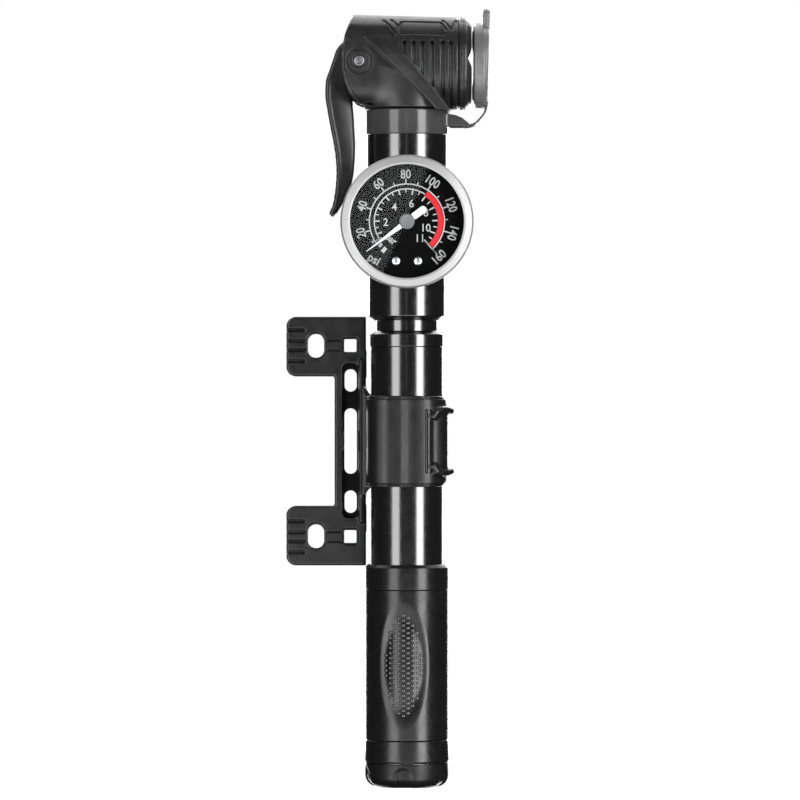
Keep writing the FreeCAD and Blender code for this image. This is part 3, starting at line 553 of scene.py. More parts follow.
def barrel_and_tubes():
    turned("barrel_shell", "Z",
           [(13, 10.8), (13, BARREL_RADIUS, 0.3), (148.1, BARREL_RADIUS, 0.2), (148.1, 10.8)],
           "pump", "anodised_black", ["barrel_tube"])
    turned("barrel_end_ring", "Z",
           [(140.1, 7.5), (140.1, 10.8), (148.15, 10.8), (148.15, 12.3, 0.25), (152.2, 12.3, 0.5),
            (153.4, 11.0, 0.3), (153.4, 7.5)], "pump", "anodised_black", ["barrel_collar"])
    turned("neck_turning", "Z",
           [(142.1, 1.6), (142.1, 7.5), (153.35, 7.5), (153.35, 10.25, 0.1), (158.1, 10.25, 0.1),
            (158.1, 11.5), (163.3, 11.5), (163.3, 10.05), (164.9, 10.05), (164.9, 11.5),
            (170.4, 11.5), (170.4, 3.6), (148.1, 3.6), (148.1, 1.6)],
           "pump", "anodised_black", ["neck_connector"])
    turned("upper_tube_shell", "Z",
           [(158.1, 11.55), (158.1, 10.3), (156.9, 10.3), (156.9, 11.2, 0.2), (158.4, 12.75, 0.5),
            (189.2, 12.75, 0.2), (189.6, 13.4, 0.2), (219.55, 13.4, 0.25), (219.55, 12.6),
            (227.45, 12.6), (227.45, 11.55)],
           "pump", "anodised_black", ["upper_tube"])
    turned("bush_turning", "Z",
           [(11.5, 3.05), (11.5, BARREL_RADIUS, 0.4), (13, BARREL_RADIUS, 0.2), (13, 10.8),
            (21, 10.8, 0.3), (21, 3.05)],
           "pump", "moulded_black", ["guide_bush"])
    turned("rod_turning", "Z",
           [(2.5, 0), (2.5, 3, 0.3), (130.9, 3, 0.3), (130.9, 2), (137.1, 2, 0.2), (137.1, 0)],
           "handle", "steel", ["piston_rod"], columns=64)


GRIP_TURNS = [math.radians(turn) for turn in (-95, 25, 145)]


def turn_from(angle, middle):
    """The signed turn from a direction, in radians."""
    return (angle - middle + math.pi) % (2 * math.pi) - math.pi


def grip_pieces():
    middle_height, half_height, half_width = 41.9, 21.5, math.radians(38)

    def sunk(span):
        """Depth below the grip's round: a dished border, then a pad that swells towards the middle."""
        return 0.62 * ease((1 - span) / 0.36) - 0.5 * ease(1 - (span / 0.8) ** 2)

    def ovals(angle, height, reach):
        fall = 0.0
        for middle in GRIP_TURNS:
            across = turn_from(angle, middle) / half_width
            span = np.hypot(across, (height - middle_height) / half_height)
            fall = np.maximum(fall, sunk(span))
        return np.where(reach > 13.5, -fall, 0.0)

    turned_relief("grip_moulding",
                  [(16.7, 13.06), (16.7, GRIP_RADIUS, 0.3), (66.9, GRIP_RADIUS, 0.3), (66.9, 13.06)],
                  ovals, "handle", "grip_plastic", ["grip_sleeve"])

    # Staggered rubber dots over the middle of each oval.
    spacing, field_width, field_height = (1.6, 1.67), 6.6, 16.8
    rings, top, columns = [(0.6, -0.1), (0.57, 0.1), (0.48, 0.2)], 0.215, 10
    points, faces = [], []
    for middle in GRIP_TURNS:
        for column in range(-4, 5):
            for row in range(-11, 12):
                turn = column * spacing[0] / GRIP_RADIUS
                height = (row + 0.5 * (column % 2)) * spacing[1]
                if (turn * GRIP_RADIUS / field_width) ** 2 + (height / field_height) ** 2 > 1:
                    continue
                span = math.hypot(turn / half_width, height / half_height)
                out = np.array([*polar(1, middle + turn), 0])
                aside, up = np.array([-out[1], out[0], 0]), np.array([0, 0, 1.0])
                centre = out * (GRIP_RADIUS - float(sunk(span))) + up * (middle_height + height)
                add_button(points, faces, lambda a, b, lift: centre + out * lift + aside * a + up * b,
                           rings, top, rings[0][1], columns)
    add_piece("grip_dots", points, faces, "handle", "grip_plastic", material=DOT_RUBBER)


def handle_ends():
    turned("handle_rim", "Z",
           [(66.9, 13.05), (66.9, 14.05, 0.35), (74.2, 14.05, 0.3), (75.3, 13.1, 0.3), (75.3, 12.25),
            (73, 12.25), (73, 13.05)], "handle", "moulded_black", ["handle_collar"])
    turned("end_ring", "Z",
           [(9.05, 13.05), (9.05, 14.0, 0.2), (9.9, 14.3, 0.6), (16.4, 13.98, 0.3), (16.7, 13.7, 0.2),
            (16.7, 13.05)], "handle", "moulded_black", ["grip_end_ring"])

    def arches(angle, height, reach):
        fall = 0.0
        for index in range(5):
            across = turn_from(angle, math.radians(-95.3 + 72 * index)) * GRIP_RADIUS
            rise = np.maximum(height - 4.6, 0)
            fall = np.maximum(fall, ease((3.55 - np.hypot(across, rise)) / 1.5))
        return -0.65 * fall * unit((reach - 9.6) / 2.2) * (reach > 9.0)

    turned_relief("end_cap_moulding",
                  [(0.9, 0), (0.9, GRIP_RADIUS, 3.9), (8.95, GRIP_RADIUS, 0.3), (8.95, 12.25, 0.1),
                   (10.8, 12.25, 0.1), (10.8, 3.0, 0.1), (2.5, 3.0, 0.1), (2.5, 0)],
                  arches, "handle", "moulded_black", ["end_cap"], columns=260, material=END_MATT)


# ---- head

HEAD_OUTLINE = [
    (-18.35, 264), (-18.4, 259.1), (-19.8, 255), (-20.8, 251.8), (-21.5, 248), (-21.9, 244.5),
    (-21.9, 240.9), (-21.2, 237.2), (-19.8, 233.2), (-18.4, 231.0), (-16.7, 229.4), (-14.6, 228.3),
    (-12.6, 227.7), (17.25, 227.4), (17.25, 264),
]
BAND_FRONT = [(224, 16.7), (228, 13.6), (234, 8.9), (240.4, 3.75), (246.4, -1.2), (251.1, -3.9),
              (256.6, -7.8), (264, -14.5)]
BAND_BACK = [(224, 12.6), (229.3, 7.6), (237, 0.3), (244.7, -7.8), (251.1, -13.8), (264, -26)]
PANEL_LINES = [([(-3.2, 11.8), (-1.5, 16.0), (11.3, 16.0), (13.0, 11.8)], 0.38, 0.55),
               ([(-3.7, 8.3), (-2.6, 9.9), (12.4, 9.9)], 0.42, 0.6)]
RIM = [(-20.3, 250.5), (-21.0, 244.5), (-20.9, 240.9), (-20.2, 237.5), (-18.9, 233.9), (-17.5, 231.8),
       (-15.9, 230.3), (-13.8, 229.3), (-11.5, 228.9)]
TOP_MARKS = [[(-7.8, 16.6), (-3.9, 10.0)], [(-5.2, 17.2), (-2.7, 12.4)],
             [(12.0, 17.8), (14.2, 13.0)], [(16.4, 17.8), (15.1, 12.0)]]


def lookup(value, spots):
    """Reads a table of (value, result) pairs, in order, at any value between them."""
    return np.interp(value, *zip(*spots))


def head_field(x, y, z):
    up = z - NOSE_HEIGHT
    side = np.abs(y)
    radial = np.hypot(y, up)
    radius = 15.36 - 0.0263 * (x - 17.4)
    round_body = radial - radius
    ahead = (x - lookup(z, BAND_FRONT)) * 0.74
    behind = (x - lookup(z, BAND_BACK)) * 0.74

    # Ribbed nose, round all the way.
    nose = round_body
    for place in (-0.8, 2.3, 5.2, 8.4, 11.9, 14.6):
        nose = less(nose, meet(np.abs(x - place) - 0.45, up - 6.6, -(round_body + 0.7)), 0.45)
        dot = np.hypot(x - place, up - 6.3) - 0.66
        nose = less(nose, meet(dot, -(round_body + 1.3)), 0.25)
    nose = meet(nose, -ahead)

    # Housing with softly flattened sides.
    flat = side - 13.3
    housing = meet(both(round_body, flat, 3.6), ahead)

    # Slanting band, proud of the nose and reaching down over the tube's collar.
    proud = 0.5 - 1.3 * unit((up - 2) / 8) - 0.45 * unit(1 - behind / 3.2)
    sink = np.where(up < 0, 5 * np.tanh(up / 5), up)
    face = np.sqrt(np.maximum((radius + proud) ** 2 - sink * sink, 0.01))
    band = both(meet(side - face, up - 12.5), both(ahead, -behind, 0.3), 0.5)
    band = meet(band, 226.9 - z)

    head = both(join(nose, housing, 0.15), outline_distance(x, z, HEAD_OUTLINE), 0.9)

    # Collar over the upright tube, with a soft flare into the housing.
    tube = np.hypot(x, y)
    collar = both(tube - COLLAR_RADIUS, between(z, 227.8, 240), 0.8)
    head = join(join(head, collar, 3.2), band, 0.35)

    # Panel with slanting ends high on the side, and short slanting marks over the top.
    turn = np.arctan2(up, side) * 15.5
    for line, wide, deep in PANEL_LINES:
        cut = line_distance(x, turn, line) - wide
        head = less(head, meet(cut, -(round_body + deep)), 0.25)
    panel = meet(between(turn, 10.2, 15.9), np.abs(x - 4.9) - 7.6 + (turn - 10.2) * 0.3)
    head = less(head, meet(panel, -(round_body + 0.28 * (16.2 - turn) / 6)), 0.25)
    for mark in TOP_MARKS:
        slit = line_distance(x, turn, mark) - 0.42
        head = less(head, meet(slit, -(round_body + 0.5)), 0.3)

    # Fine rim along the back edge, and the ring round the pin.
    rim = line_distance(x, z, smooth_line(RIM, 3)) - 0.3
    skin = np.minimum(-both(round_body, flat, 2.6), 5)
    head = less(head, meet(rim, skin - 0.5), 0.25)
    from_pin = np.hypot(x - PIN[0], z - PIN[1])
    ring = np.abs(from_pin - 4.05) - 0.42
    head = less(head, meet(ring, 12.6 - side), 0.3)
    head = less(head, from_pin - 1.98, 0.3)

    # Room for the lever, the thrust piston and the tube.
    floor = np.where(x < -14.2, 220 - z, 230.4 - z)
    head = less(head, meet(x + 6.95, -(x + 26), side - 6.8, floor, z - 254.2), 0.5)
    return less(head, meet(radial - 7.45, -(x + 11)), 0.2)


def nut_field(x, y, z):
    up = z - NOSE_HEIGHT
    radial = np.hypot(y, up)
    angle = np.arctan2(up, y)
    fluted = NOSE_RADIUS - 0.12 * np.maximum(np.cos(angle * 12), 0) ** 2
    nut = both(radial - fluted, between(x, 17.55, 21.6), 0.5)
    chamfer = (radial - NOSE_RADIUS + (x - 19.7)) * 0.707
    nut = both(nut, chamfer, 0.8)
    notch = (x - 21.6 + 1.5 * (1 - np.abs(z - 244.3) / 3.1)) * 0.87
    nut = both(nut, notch, 0.25)
    rim = np.abs(x - 18.9) - 0.12
    nut = less(nut, meet(rim, 15.3 - radial), 0.2)
    nut = join(nut, meet(radial - 15.1, between(x, 17.26, 18)), 0.1)
    return less(nut, radial - 4.1, 0.5)


def head_pieces():
    surface("head_moulding", head_field, (-23, -16.8, 225.5), (18.2, 16.8, 260.6), 0.37, "pump",
            "moulded_black", ["head_body"], material=HEAD_SATIN)
    surface("nose_nut_moulding", nut_field, (17, -16, 227), (22.3, 16, 259), 0.36, "pump",
            "moulded_black", ["nose_nut"], material=HEAD_SATIN)
    centre = (0, 0, NOSE_HEIGHT)
    turned("gasket_turning", "X", [(7.5, 4.1), (7.5, 7.4), (17.4, 7.4), (17.4, 4.1, 0.5)], "pump",
           "seal_rubber", ["valve_gasket"], centre, columns=64)
    ends = [(-13.1, 0), (-13.1, 0.75, 0.2), (-12.75, 0.95, 0.2), (-13.2, 1.2, 0.2), (-13.05, 1.8, 0.35),
            (13.05, 1.8, 0.35), (13.2, 1.2, 0.2), (12.75, 0.95, 0.2), (13.1, 0.75, 0.2), (13.1, 0)]
    turned("pivot_pin", "Y", ends, "pump", "steel", ["lever_pin"], (PIN[0], 0, PIN[1]), columns=48)


LEVER_OUTER = [(-21.4, 249.9), (-23.45, 247.6), (-24.46, 244.9), (-25.8, 240.9), (-27.0, 237.5),
               (-27.3, 234.2), (-27.3, 231.5), (-26.8, 228.1), (-25.8, 222.4), (-24.5, 215.7),
               (-23.8, 210.7), (-23.6, 205.7), (-23.95, 200.7), (-24.8, 195.6), (-25.96, 193)]
LEVER_INNER = [(-23.1, 193), (-21.4, 196), (-20.1, 199.3), (-18.4, 202.7), (-17.6, 207.4), (-17.25, 214.1),
               (-17.4, 219.1), (-17.8, 225.8), (-18.1, 229.3), (-18.1, 236.2)]


def lever_outline():
    """Cam, back and thumb arm of the lever, round its pin."""
    rise = 2.5 / (math.pi / 2)
    cam = []
    for step in range(13):
        turn = math.pi / 2 * step / 12
        reach = 6.0 + rise * turn
        cam.append((PIN[0] + reach * math.cos(turn) - rise * math.sin(turn),
                    PIN[1] + reach * math.sin(turn) + rise * math.cos(turn)))
    back = smooth_line([cam[-1], (-19.0, 251.4)] + LEVER_OUTER)
    under = smooth_line(LEVER_INNER + [(-13.9, 236.6), (-9.9, 240.3)])
    return cam + back[1:] + [(-25.6, 191.8), (-24.2, 192.0)] + under


LEVER_SHAPE = lever_outline()
LEVER_BACK = smooth_line(LEVER_OUTER, 3)


def lever_field(x, y, z):
    side = np.abs(y)
    outline = outline_distance(x, z, LEVER_SHAPE)
    back = line_distance(x, z, LEVER_BACK)
    # The arm's sides fall away from the rim along its back towards the belly.
    arm = unit((243 - z) / 8) * unit((-13.5 - x) / 4)
    fall = np.clip(back - 1.3, 0, 8)
    half = 6.5 - arm * (0.2 * unit(fall / 0.6) + 0.027 * fall * fall)
    lever = both(outline, side - half, 1.2)
    # The back is dished across its width, with cross ribs where the thumb rests.
    thumb = unit((z - 193) / 2) * unit((216 - z) / 3)
    ribs = 0.16 * np.cos((z - 194) * 2 * math.pi / 2.2) * thumb * unit((6 - side) / 1.5)
    hollow = (0.35 * unit(1 - (y / 5.6) ** 2) - ribs) * unit(1.2 - back)
    lever = lever + np.where(x < -22.0, hollow, 0)
    hole = np.hypot(x - PIN[0], z - PIN[1]) - 1.95
    return less(lever, hole, 0.3)


# ---- rubber ring, strap and dust cap


def ring_field(x, y, z):
    tube = np.hypot(x, y)
    ring = both(tube - COLLAR_RADIUS, between(z, 218.95, 227.45), 0.7)
    shape = [(12.8, 221.6), (20.6, 221.6), (21.4, 222.1), (20.6, 223.0), (18.6, 224.6), (16.2, 225.6),
             (12.8, 226.1)]
    gusset = both(outline_distance(x, z, shape), np.abs(y) - 5.5, 0.8)
    ring = join(ring, gusset, 1.4)
    return less(ring, tube - 12.62, 0.3)


def cap_field(x, y, z):
    up = z - 242.3
    radial = np.hypot(y, up)
    disc = both(radial - 14.25 + 0.08 * np.maximum(25.0 - x, 0), between(x, 22.35, 26.2), 0.9)
    right = 27.35 - 0.0265 * (252 - z) + 0.012 * np.maximum(z - 252, 0)
    face = both(radial - 13.7, meet(25.2 - x, x - right), 0.7)
    plate = both(box_2d(y, z, 0, 244.55, 5.6, 16.55, 2.6), meet(25.4 - x, x - right - 0.15), 1.0)
    cap = join(join(disc, face, 0.6), plate, 0.6)
    hollow = meet(radial - 9.2, 22.0 - x)
    cap = less(cap, meet(hollow, x - 23.4), 0.6)
    ring = np.abs(radial - 11.0) - 0.6
    reach = np.abs(np.arctan2(up, np.abs(y) + 1e-9))
    lips = both(meet(ring, 0.61 - reach), between(x, 21.9, 23), 0.3)
    cap = join(cap, lips, 0.4)
    grip = np.abs(np.abs(z - 257.6) - 1.1) - 0.28
    ribs = meet(grip, np.abs(y) - 3.8, right - 0.2 - x)
    return less(cap, ribs, 0.25)


def strap_piece():
    """Thin rubber strap from the ring to the cap, riding on no body."""
    finish = (26.6, 228.6)
    route = [(19.2, 221.95), (20.4, 222.0), (22.6, 222.6), (24.3, 224.1), (25.9, 226.2), finish,
             (26.75, 230.0)]
    line = np.array(smooth_line(route, 8))
    half_width, half_flat, edge = 5.2, 0.1, 0.3
    section = []
    for quarter, (sign_a, sign_b) in enumerate(((1, 1), (-1, 1), (-1, -1), (1, -1))):
        for lean in (0, 30, 60, 90):
            turn = math.radians(lean + 90 * quarter)
            section.append((sign_a * half_width + edge * math.cos(turn),
                            sign_b * half_flat + edge * math.sin(turn)))
    points = []
    for index, (across, height) in enumerate(line):
        ahead = line[min(index + 1, len(line) - 1)] - line[max(index - 1, 0)]
        ahead = ahead / np.linalg.norm(ahead)
        points += [(across - ahead[1] * thick, wide, height + ahead[0] * thick) for wide, thick in section]
    faces = stack_faces(0, len(section), len(line))
    piece = add_piece("rubber_strap", points, faces, None, "grey_rubber", ["cap_strap"])
    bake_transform(piece)


# ---- gauge


def saddle_field(x, y, z):
    up = z - GAUGE_HEIGHT
    radial = np.hypot(x, up)
    tube = np.hypot(x, y)
    flare = 11.6 + 0.055 * np.maximum(y + 14, 0) ** 2
    boss = both(radial - flare, between(y, -14, -6), 0.6)
    return less(boss, tube - 13.38, 0.3)


def gauge_housing():
    centre = (0, 0, GAUGE_HEIGHT)
    surface("saddle_moulding", saddle_field, (-16, -14.6, 173), (16, -5, 206), 0.45, "pump", "moulded_black",
            ["gauge_saddle"])
    turned("gauge_can", "Y",
           [(-14, 3), (-14, 19.6, 1.0), (-15.4, 21, 1.2), (-20.5, 21, 0.2), (-24.6, 21), (-24.6, 19.5),
            (-14.6, 19.5), (-14.6, 3)], "pump", "bezel_metal", ["gauge_case"], centre, columns=160)
    turned("gauge_rim", "Y",
           [(-20.5, 21), (-20.5, 22.05, 0.35), (-26.7, 22.05, 0.7), (-27.6, 21.6, 0.6), (-28.35, 19.5, 0.35),
            (-28.1, 18.8, 0.25), (-27.6, 18.8), (-27.6, 20.2), (-24.6, 20.2), (-24.6, 21)],
           "pump", "bezel_metal", ["gauge_bezel"], centre, columns=200)
    turned("gauge_window", "Y",
           [(-27.55, 0), (-27.55, 20.15, 0.2), (-26.0, 20.15, 0.2), (-26.0, 0)],
           "pump", "lens_glass", ["gauge_lens"], centre, columns=96)
    turned("dial_disc", "Y", [(-23.4, 0.8), (-23.4, 19.5, 0.1), (-22.9, 19.5, 0.1), (-22.9, 0.8)],
           "pump", "dial_black", ["dial_plate"], centre, columns=128)
    points, faces = [], []
    height = GAUGE_HEIGHT - 13.1
    rings = [(1.5, -23.35), (1.46, -23.55), (1.25, -23.75), (0.85, -23.92), (0.4, -24.0)]
    for side in (-3.64, 3.64):
        add_button(points, faces, lambda a, b, depth: (side + a, depth, height + b),
                   rings, -24.02, rings[0][1], 32)
    add_piece("dial_dots", points, faces, "pump", "steel", ["dial_screws"], material=SCREW_BRIGHT)


# The dial's drawing unit, and the front of its print.
DIAL_UNIT = 0.3308
PRINT_FRONT = -23.44
PRINT_THICKNESS = 0.05
# Dial turn, in degrees from +X, at each figure of the outer scale.
PSI_TURNS = [(0, 226), (20, 194), (40, 161), (60, 127), (80, 91.5), (100, 56.6), (120, 20.2), (140, -14.7),
             (160, -47.4)]
PSI_PER_BAR = 14.504


class Print:
    """Flat printed shapes on the dial, gathered into one piece with a hair of thickness."""

    def __init__(self):
        self.points, self.faces = [], []

    def plate(self, outline):
        """A closed flat shape; the outline runs the same way round as the angles."""
        self.faces += stack_faces(len(self.points), len(outline), 2)
        for depth in (PRINT_FRONT + PRINT_THICKNESS, PRINT_FRONT):
            self.points += [(u, depth, GAUGE_HEIGHT + v) for u, v in outline]

    def arc(self, inner, outer, low, high, parts):
        turns = np.radians(np.linspace(low, high, parts + 1))
        for a, b in zip(turns, turns[1:]):
            self.plate([polar(*corner) for corner in ((inner, a), (outer, a), (outer, b), (inner, b))])

    def tick(self, turn, inner, outer, width):
        along = np.array(polar(1, math.radians(turn)))
        side = np.array([-along[1], along[0]]) * width / 2
        self.plate([along * inner - side, along * outer - side, along * outer + side, along * inner + side])

    def words(self, text, height, middle, turn, narrow, weight):
        """Lettering from Blender's own font, centred and turned."""
        curve = bpy.data.curves.new("lettering", "FONT")
        curve.body = text
        curve.size = 1.0
        curve.resolution_u = 3
        curve.offset = weight
        curve.align_x = "CENTER"
        holder = put("lettering", curve)
        bpy.context.view_layer.update()
        mesh = bpy.data.meshes.new_from_object(holder)
        spots = np.array([v.co[:2] for v in mesh.vertices])
        shift = np.array([(spots[:, 0].max() + spots[:, 0].min()) / 2, 0.345])
        spots = (spots - shift) * np.array([narrow, 1.0]) * height / 0.69
        cos, sin = math.cos(math.radians(turn)), math.sin(math.radians(turn))
        spots = spots @ np.array([[cos, sin], [-sin, cos]]) + np.array(middle)
        for polygon in mesh.polygons:
            self.plate([tuple(spots[k]) for k in polygon.vertices])
        bpy.data.objects.remove(holder)
        bpy.data.curves.remove(curve)
        bpy.data.meshes.remove(mesh)

    def finish(self, name, material):
        add_piece(name, self.points, self.faces, "pump", "dial_black", material=material, smooth=False)


def dial_print():
    white = Print()
    px = DIAL_UNIT
    outer, inner = 37.6 * px, 32.7 * px
    white.arc(outer - 0.2, outer + 0.2, -46, 216, 90)
    white.arc(inner - 0.2, inner + 0.2, 57, 216, 60)
    white.arc(33.2 * px, 37.6 * px, 219.5, 224, 3)
    white.arc(33.6 * px, 39.4 * px, 228, 234, 3)
    for value in range(10, 161, 10):
        major = value % 20 == 0
        length, width = (5.4, 0.42) if major else (3.4, 0.32)
        white.tick(lookup(value, PSI_TURNS), outer, outer + length * px, width)
    end = float(lookup(160, PSI_TURNS))
    white.tick(end, 26.7 * px, 43.4 * px, 0.32)
    white.tick(212, 30 * px, 41 * px, 0.32)
    for half in range(1, 23):
        pressure = half * 0.5 * PSI_PER_BAR
        if pressure < 160:
            major = half % 2 == 0
            root = inner if pressure < 100 else 30.6 * px
            length, width = (5.4, 0.46) if major else (3.8, 0.34)
            white.tick(lookup(pressure, PSI_TURNS), root - length * px, root, width)
    for value in range(20, 161, 20):
        turn = float(lookup(value, PSI_TURNS))
        middle = polar(47.6 * px, math.radians(turn))
        upright = turn - 90 if value < 160 else turn + 90
        white.words(str(value), 8.6 * px, middle, upright, 0.84, 0.016)
    for value, place in ((2, (-21.3, -0.6)), (4, (-12.6, 14.6)), (6, (4.6, 18.1)), (8, (19.0, 9.0)),
                         (10, (19.6, -6.2)), (11, (13.0, -16.6))):
        white.words(str(value), 7.6 * px, (place[0] * px, place[1] * px), 0, 0.95, 0.008)
    white.words("psi", 8.2 * px, (-32.8 * px, -37.6 * px), -30, 0.95, 0.022)
    white.words("bar", 7.0 * px, (-15.4 * px, -17.6 * px), -38, 0.85, 0.022)
    white.finish("dial_marks", PRINT_WHITE)
    red = Print()
    red.arc(31.0 * px, 36.2 * px, -45.6, 56, 60)
    red.finish("dial_red_band", PRINT_RED)


def pointer_pieces():
    along = np.array(polar(1, math.radians(216.5)))
    side = np.array([-along[1], along[0]])
    outline = [(16.7, 0.14), (12.0, 0.3), (6.0, 0.6), (2.0, 0.82), (-2.2, 0.84), (-2.9, 1.14), (-6.6, 1.2)]
    tail = [(-6.6 - 1.18 * math.sin(t), 1.2 * math.cos(t)) for t in np.radians([22, 45, 68, 86])]
    edge = outline + tail
    edge = edge + [(reach, -half) for reach, half in reversed(edge)]
    points = []
    for depth, shrink in ((-24.3, 0.0), (-24.62, 0.0), (-24.7, 0.07)):
        for reach, half in edge:
            inset = max(abs(half) - shrink, 0.02) * (1 if half > 0 else -1)
            spot = along * (reach - shrink * (1 if reach > 0 else -1)) + side * inset
            points.append((spot[0], depth, GAUGE_HEIGHT + spot[1]))
    add_piece("needle_blade", points, stack_faces(0, len(edge), 3), "pointer", "pointer_white",
              ["pointer_needle"], smooth=False)
    turned("needle_hub", "Y",
           [(-25.3, 0), (-25.3, 1.5, 0.1), (-25.5, 1.7, 0.1), (-25.5, 2.1, 0.25), (-25.05, 2.55, 0.2),
            (-24.7, 2.6, 0.1), (-24.7, 0)],
           "pointer", "steel", ["pointer_hub_cap"], (0, 0, GAUGE_HEIGHT), columns=64, material=HUB_GREY)


# ---- bracket


# Half the clip's height; its plan, the plan of the thicker lip beside its opening, and the lip's hook.
CLIP_HALF = 15.2
CLIP_OUTLINE = smooth_line([
    (13.3, 1.5), (13.35, -3), (12.5, -6.5), (11.0, -9.6), (8.6, -12.2), (6.2, -13.4), (3.0, -13.95),
    (0.6, -13.8),
    (-0.8, -13.35), (-2.4, -12.95), (-5.6, -12.85), (-7.2, -12.6), (-8.8, -12.0), (-10.6, -10.9),
    (-12.3, -8.8), (-13.4, -5), (-13.5, 0), (-13.4, 4), (-12.4, 7.5),
    (-10.0, 10.6), (-7.0, 12.6), (-4, 13.6), (0, 13.9), (6, 13.0), (11, 9.0)], 4, True)
LIP_OUTLINE = smooth_line([
    (8.7, -12.6), (10.4, -12.0), (12.2, -10.4), (13.4, -8.2), (13.75, -5.4), (13.7, -3.6), (12.4, -3.2),
    (11.9, -5.4), (10.6, -8.4), (8.8, -10.6)], 4, True)
HOOK_LINE = [(8.9, -12.5, 8.4), (10.0, -11.9, 9.8), (11.5, -10.6, 10.5), (13.2, -7.8, 10.5),
             (14.6, -5.0, 10.1)]


def rod_distance(x, y, z, spots):
    """Distance from a line bent through points in space."""
    nearest = None
    for first, last in zip(spots, spots[1:]):
        way = [b - a for a, b in zip(first, last)]
        gap = [x - first[0], y - first[1], z - first[2]]
        share = unit(sum(g * w for g, w in zip(gap, way)) / sum(w * w for w in way))
        away = np.sqrt(sum((g - share * w) ** 2 for g, w in zip(gap, way)))
        nearest = away if nearest is None else np.minimum(nearest, away)
    return nearest


def bracket_field(x, y, z):
    up = z - BOLT_MIDDLE
    mirrored = np.abs(up)
    lobe = box_2d(x, mirrored, -22.1, 31.75, 18.4, 10.05, 3.2)
    lobe = meet(lobe, x + 13.7)
    web = meet(box_2d(x, mirrored, -19.0, 0, 5.3, 30, 0.1), -(x + 24.3))
    flat = join(lobe, web, 0.8)
    plate = both(flat, between(y, 5.5, 9.0), 0.9)

    # Channel round the windows, sunk into the front face.
    channel = box_2d(x, mirrored, -18.95, 14.0, 2.75, 12.1, 2.0)
    plate = less(plate, meet(channel, y - 8.4), 0.4)
    ridge = both(box_2d(x, mirrored, -15.3, 0, 0.75, 27.5, 0.6), between(y, 4.3, 8.0), 0.6)
    plate = join(plate, ridge, 0.5)

    # Windows, bolt slots and square holes with stepped rims, and grooves.
    windows = box_2d(x, mirrored, -18.9, 0, 2.05, 10.95, 2.0)
    windows = np.minimum(windows, box_2d(x, mirrored, -18.9, 20.4, 2.0, 3.7, 1.95))
    square = box_2d(x, mirrored, -19.0, 32.1, 2.05, 2.15, 0.35)
    slot = box_2d(x, mirrored, -30.5, 32.0, 2.7, 3.95, 2.6)
    for hole, soft in ((windows, 0.35), (square, 0.3), (slot, 0.35)):
        plate = less(plate, hole, soft)
    cuts = [(slot - 0.7, 6.3, 0.3), (square - 0.65, 6.4, 0.3)]
    cuts += [(box_2d(x, mirrored, -38.2, rise, 3.9, 0.4, 0.3), 6.9, 0.5) for rise in (37.3, 33.7, 30.6, 26.9)]
    cuts += [(box_2d(x, mirrored, -24.3, rise, 3.1, 0.2, 0.15), 6.1, 0.25) for rise in (33.8, 30.5)]
    for cut, deep, soft in cuts:
        plate = less(plate, meet(cut, y - deep), soft)

    # Spring band round the barrel.
    tube = np.hypot(x, y)
    turn = np.degrees(np.arctan2(y, x))
    gap = between(turn, 7, 120) * math.pi / 180 * tube
    shell = outline_distance(x, y, CLIP_OUTLINE)
    band = both(meet(shell, CLIP_BORE - tube), mirrored - CLIP_HALF, 0.5)
    band = less(band, gap, 0.5)
    edge = np.abs(mirrored - 14.3) - 0.2
    band = less(band, meet(edge, -0.25 - shell), 0.2)
    lip = outline_distance(x, y, LIP_OUTLINE)
    lip = both(meet(lip, CLIP_BORE - tube), mirrored - 11.2, 0.6)
    steps = np.minimum(np.abs(x - 6.5), np.abs(x - 8.1)) - 0.28
    steps = meet(steps, mirrored - 10.6, y + 8, -0.45 - shell)
    band = join(less(band, steps, 0.2), lip, 0.35)
    hook = rod_distance(x, y, mirrored, HOOK_LINE) - 1.15
    band = join(band, hook, 0.9)
    corner = box_2d(x, mirrored, -6.0, 0, 19.7, 15.2, 3.4)
    band = np.where(x > 5, both(band, np.where(mirrored > 11.5, corner, -3), 0.4), band)

    # Root between the plate and the band.
    flare = 0.34 * np.clip(-11 - x, 0, 2.7) ** 2
    root = both(box_2d(x, y, -12.9, 6.3, 1.9, 2.7, 0.4), mirrored - CLIP_HALF - flare, 0.4)
    root = less(root, tube - 12.2, 0.2)
    whole = join(join(plate, root, 1.6), band, 0.9)
    return meet(whole, CLIP_BORE - tube)


# ---- build

barrel_and_tubes()
grip_pieces()
handle_ends()
head_pieces()
surface("lever_moulding", lever_field, (-28.6, -7.2, 190.6), (-6.6, 7.2, 253.6), 0.4, "lever",
        "moulded_black", ["thumb_lever"], HEAD_SATIN)
surface("rubber_ring", ring_field, (-14.4, -14.4, 218.2), (22.2, 14.4, 228), 0.4, "pump", "grey_rubber",
        ["strap_ring"])
# The cap's lighter rubber is painted light.
surface("cap_moulding", cap_field, (21.3, -15, 227.2), (28.4, 15, 262), 0.38, "cap", "grey_rubber",
        ["dust_cap"], CAP_RUBBER_LIT)
strap_piece()
gauge_housing()
dial_print()
pointer_pieces()
surface("bracket_moulding", bracket_field, (-41.4, -15.4, 74), (16.6, 14.6, 159), 0.42, "bracket",
        "bracket_plastic", ["frame_bracket"])

SLOT_OF = {
    "seal_rubber": ["neck_oring", "head_oring", "thrust_oring", "piston_oring"],
    "steel": ["spring_retainer", "check_spring", "valve_core_pin", "rod_screw", "pointer_arbor"],
    "brass": ["gauge_stem", "bourdon_tube", "movement_frame", "sector_gear", "bourdon_link"],
    "moulded_black": ["thrust_piston", "piston_head", "check_poppet"],
    "aluminium_plain": ["handle_tube"],
}
for slot, names in SLOT_OF.items():
    for name in names:
        mesh = nodes[name].data
        mesh.materials.clear()
        mesh.materials.append(FINISH[slot])


# ---- floor, light and camera


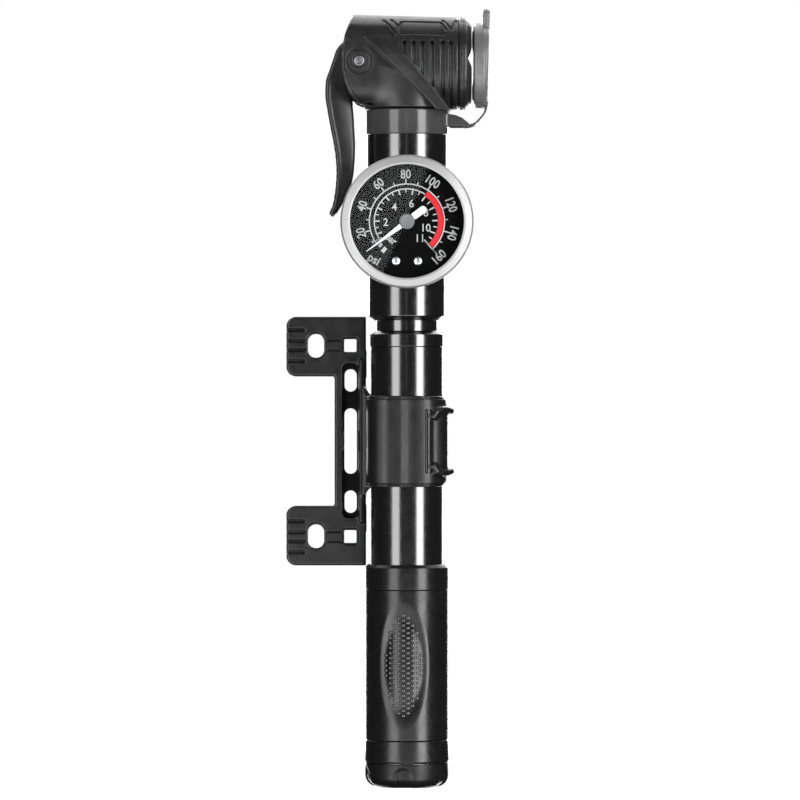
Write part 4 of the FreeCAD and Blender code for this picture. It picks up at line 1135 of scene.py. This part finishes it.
def softbox(name, place, target, width, height, radiance):
    """A rectangular lamp of an even brightness, not itself in view."""
    lamp = bpy.data.lights.new(name, "AREA")
    lamp.shape = "RECTANGLE"
    lamp.size, lamp.size_y = width, height
    lamp.energy = radiance * math.pi * width * height
    thing = put(name, lamp)
    thing.location = Vector(place)
    thing.rotation_euler = (Vector(target) - Vector(place)).to_track_quat("-Z", "Y").to_euler()
    thing.visible_camera = False
    return thing


def around(turn, reach, height):
    """A place round the pump: turn is in degrees from the front, to the right."""
    return (*polar(reach, math.radians(turn - 90)), height)


MIDDLE = (0, 0, 0.13)
for name, turn, width, radiance in (("strip_left", -36, 0.56, 5.0), ("strip_right", 42.5, 0.52, 10.0),
                                    ("strip_back_left", -165, 0.3, 8.0), ("strip_back_right", 165, 0.3, 8.0)):
    softbox(name, around(turn, 1.3, MIDDLE[2]), MIDDLE, width, 1.9, radiance)
softbox("overhead", (0, 0.75, 1.15), (0, 0, 0.2), 2.0, 1.4, 2.6)
softbox("underfill", (0, -0.33, -0.09), (0, 0, 0.23), 1.1, 0.28, 2.2)

# A dim board behind the camera whose slanting edge shows in the dial's window.
board = softbox("board", (-0.0534, -2.35, 0.283), (-0.0534, 0, 0.283), 0.12, 0.13, 1.9)
board.rotation_euler = (math.radians(90), math.radians(23.55), 0)

world = bpy.data.worlds.new("studio")
bpy.context.scene.world = world
world.use_nodes = True
tree = world.node_tree
background = tree.nodes["Background"]
background.inputs["Color"].default_value = (1, 1, 1, 1)
seen = tree.nodes.new("ShaderNodeLightPath")
level = tree.nodes.new("ShaderNodeMapRange")
level.inputs["To Min"].default_value = 0.05
tree.links.new(seen.outputs["Is Camera Ray"], level.inputs["Value"])
tree.links.new(level.outputs["Result"], background.inputs["Strength"])

floor_mesh = bpy.data.meshes.new("floor")
half, floor_height = 40.0, -0.114
corners = [(-half, -half), (half, -half), (half, half), (-half, half)]
floor_mesh.from_pydata([(x, y, floor_height) for x, y in corners], [], [(0, 1, 2, 3)])
floor = put("floor", floor_mesh)
pale = bpy.data.materials.new("floor_pale")
pale.use_nodes = True
paint = pale.node_tree.nodes["Principled BSDF"]
for socket, value in {"Base Color": (0.5, 0.5, 0.5, 1), "Roughness": 0.9, "Specular IOR Level": 0.0,
                      "Emission Color": (1, 1, 1, 1), "Emission Strength": 1.0}.items():
    paint.inputs[socket].default_value = value
floor_mesh.materials.append(pale)
floor.visible_glossy = False
floor.visible_diffuse = False

# The camera's distance in front of the pump's axis, and what it takes in there, in metres.
DISTANCE, VIEW_HEIGHT = 2.0, 0.268
camera_data = bpy.data.cameras.new("camera")
camera_data.sensor_width = 36
camera_data.lens = camera_data.sensor_width * DISTANCE / VIEW_HEIGHT
camera_data.clip_end = 100
camera = put("camera", camera_data)
camera.location = (-0.0023, -DISTANCE, 0.1303)
camera.rotation_euler = (math.radians(90), 0, 0)
bpy.context.scene.camera = camera
bpy.context.scene.view_settings.view_transform = "Standard"
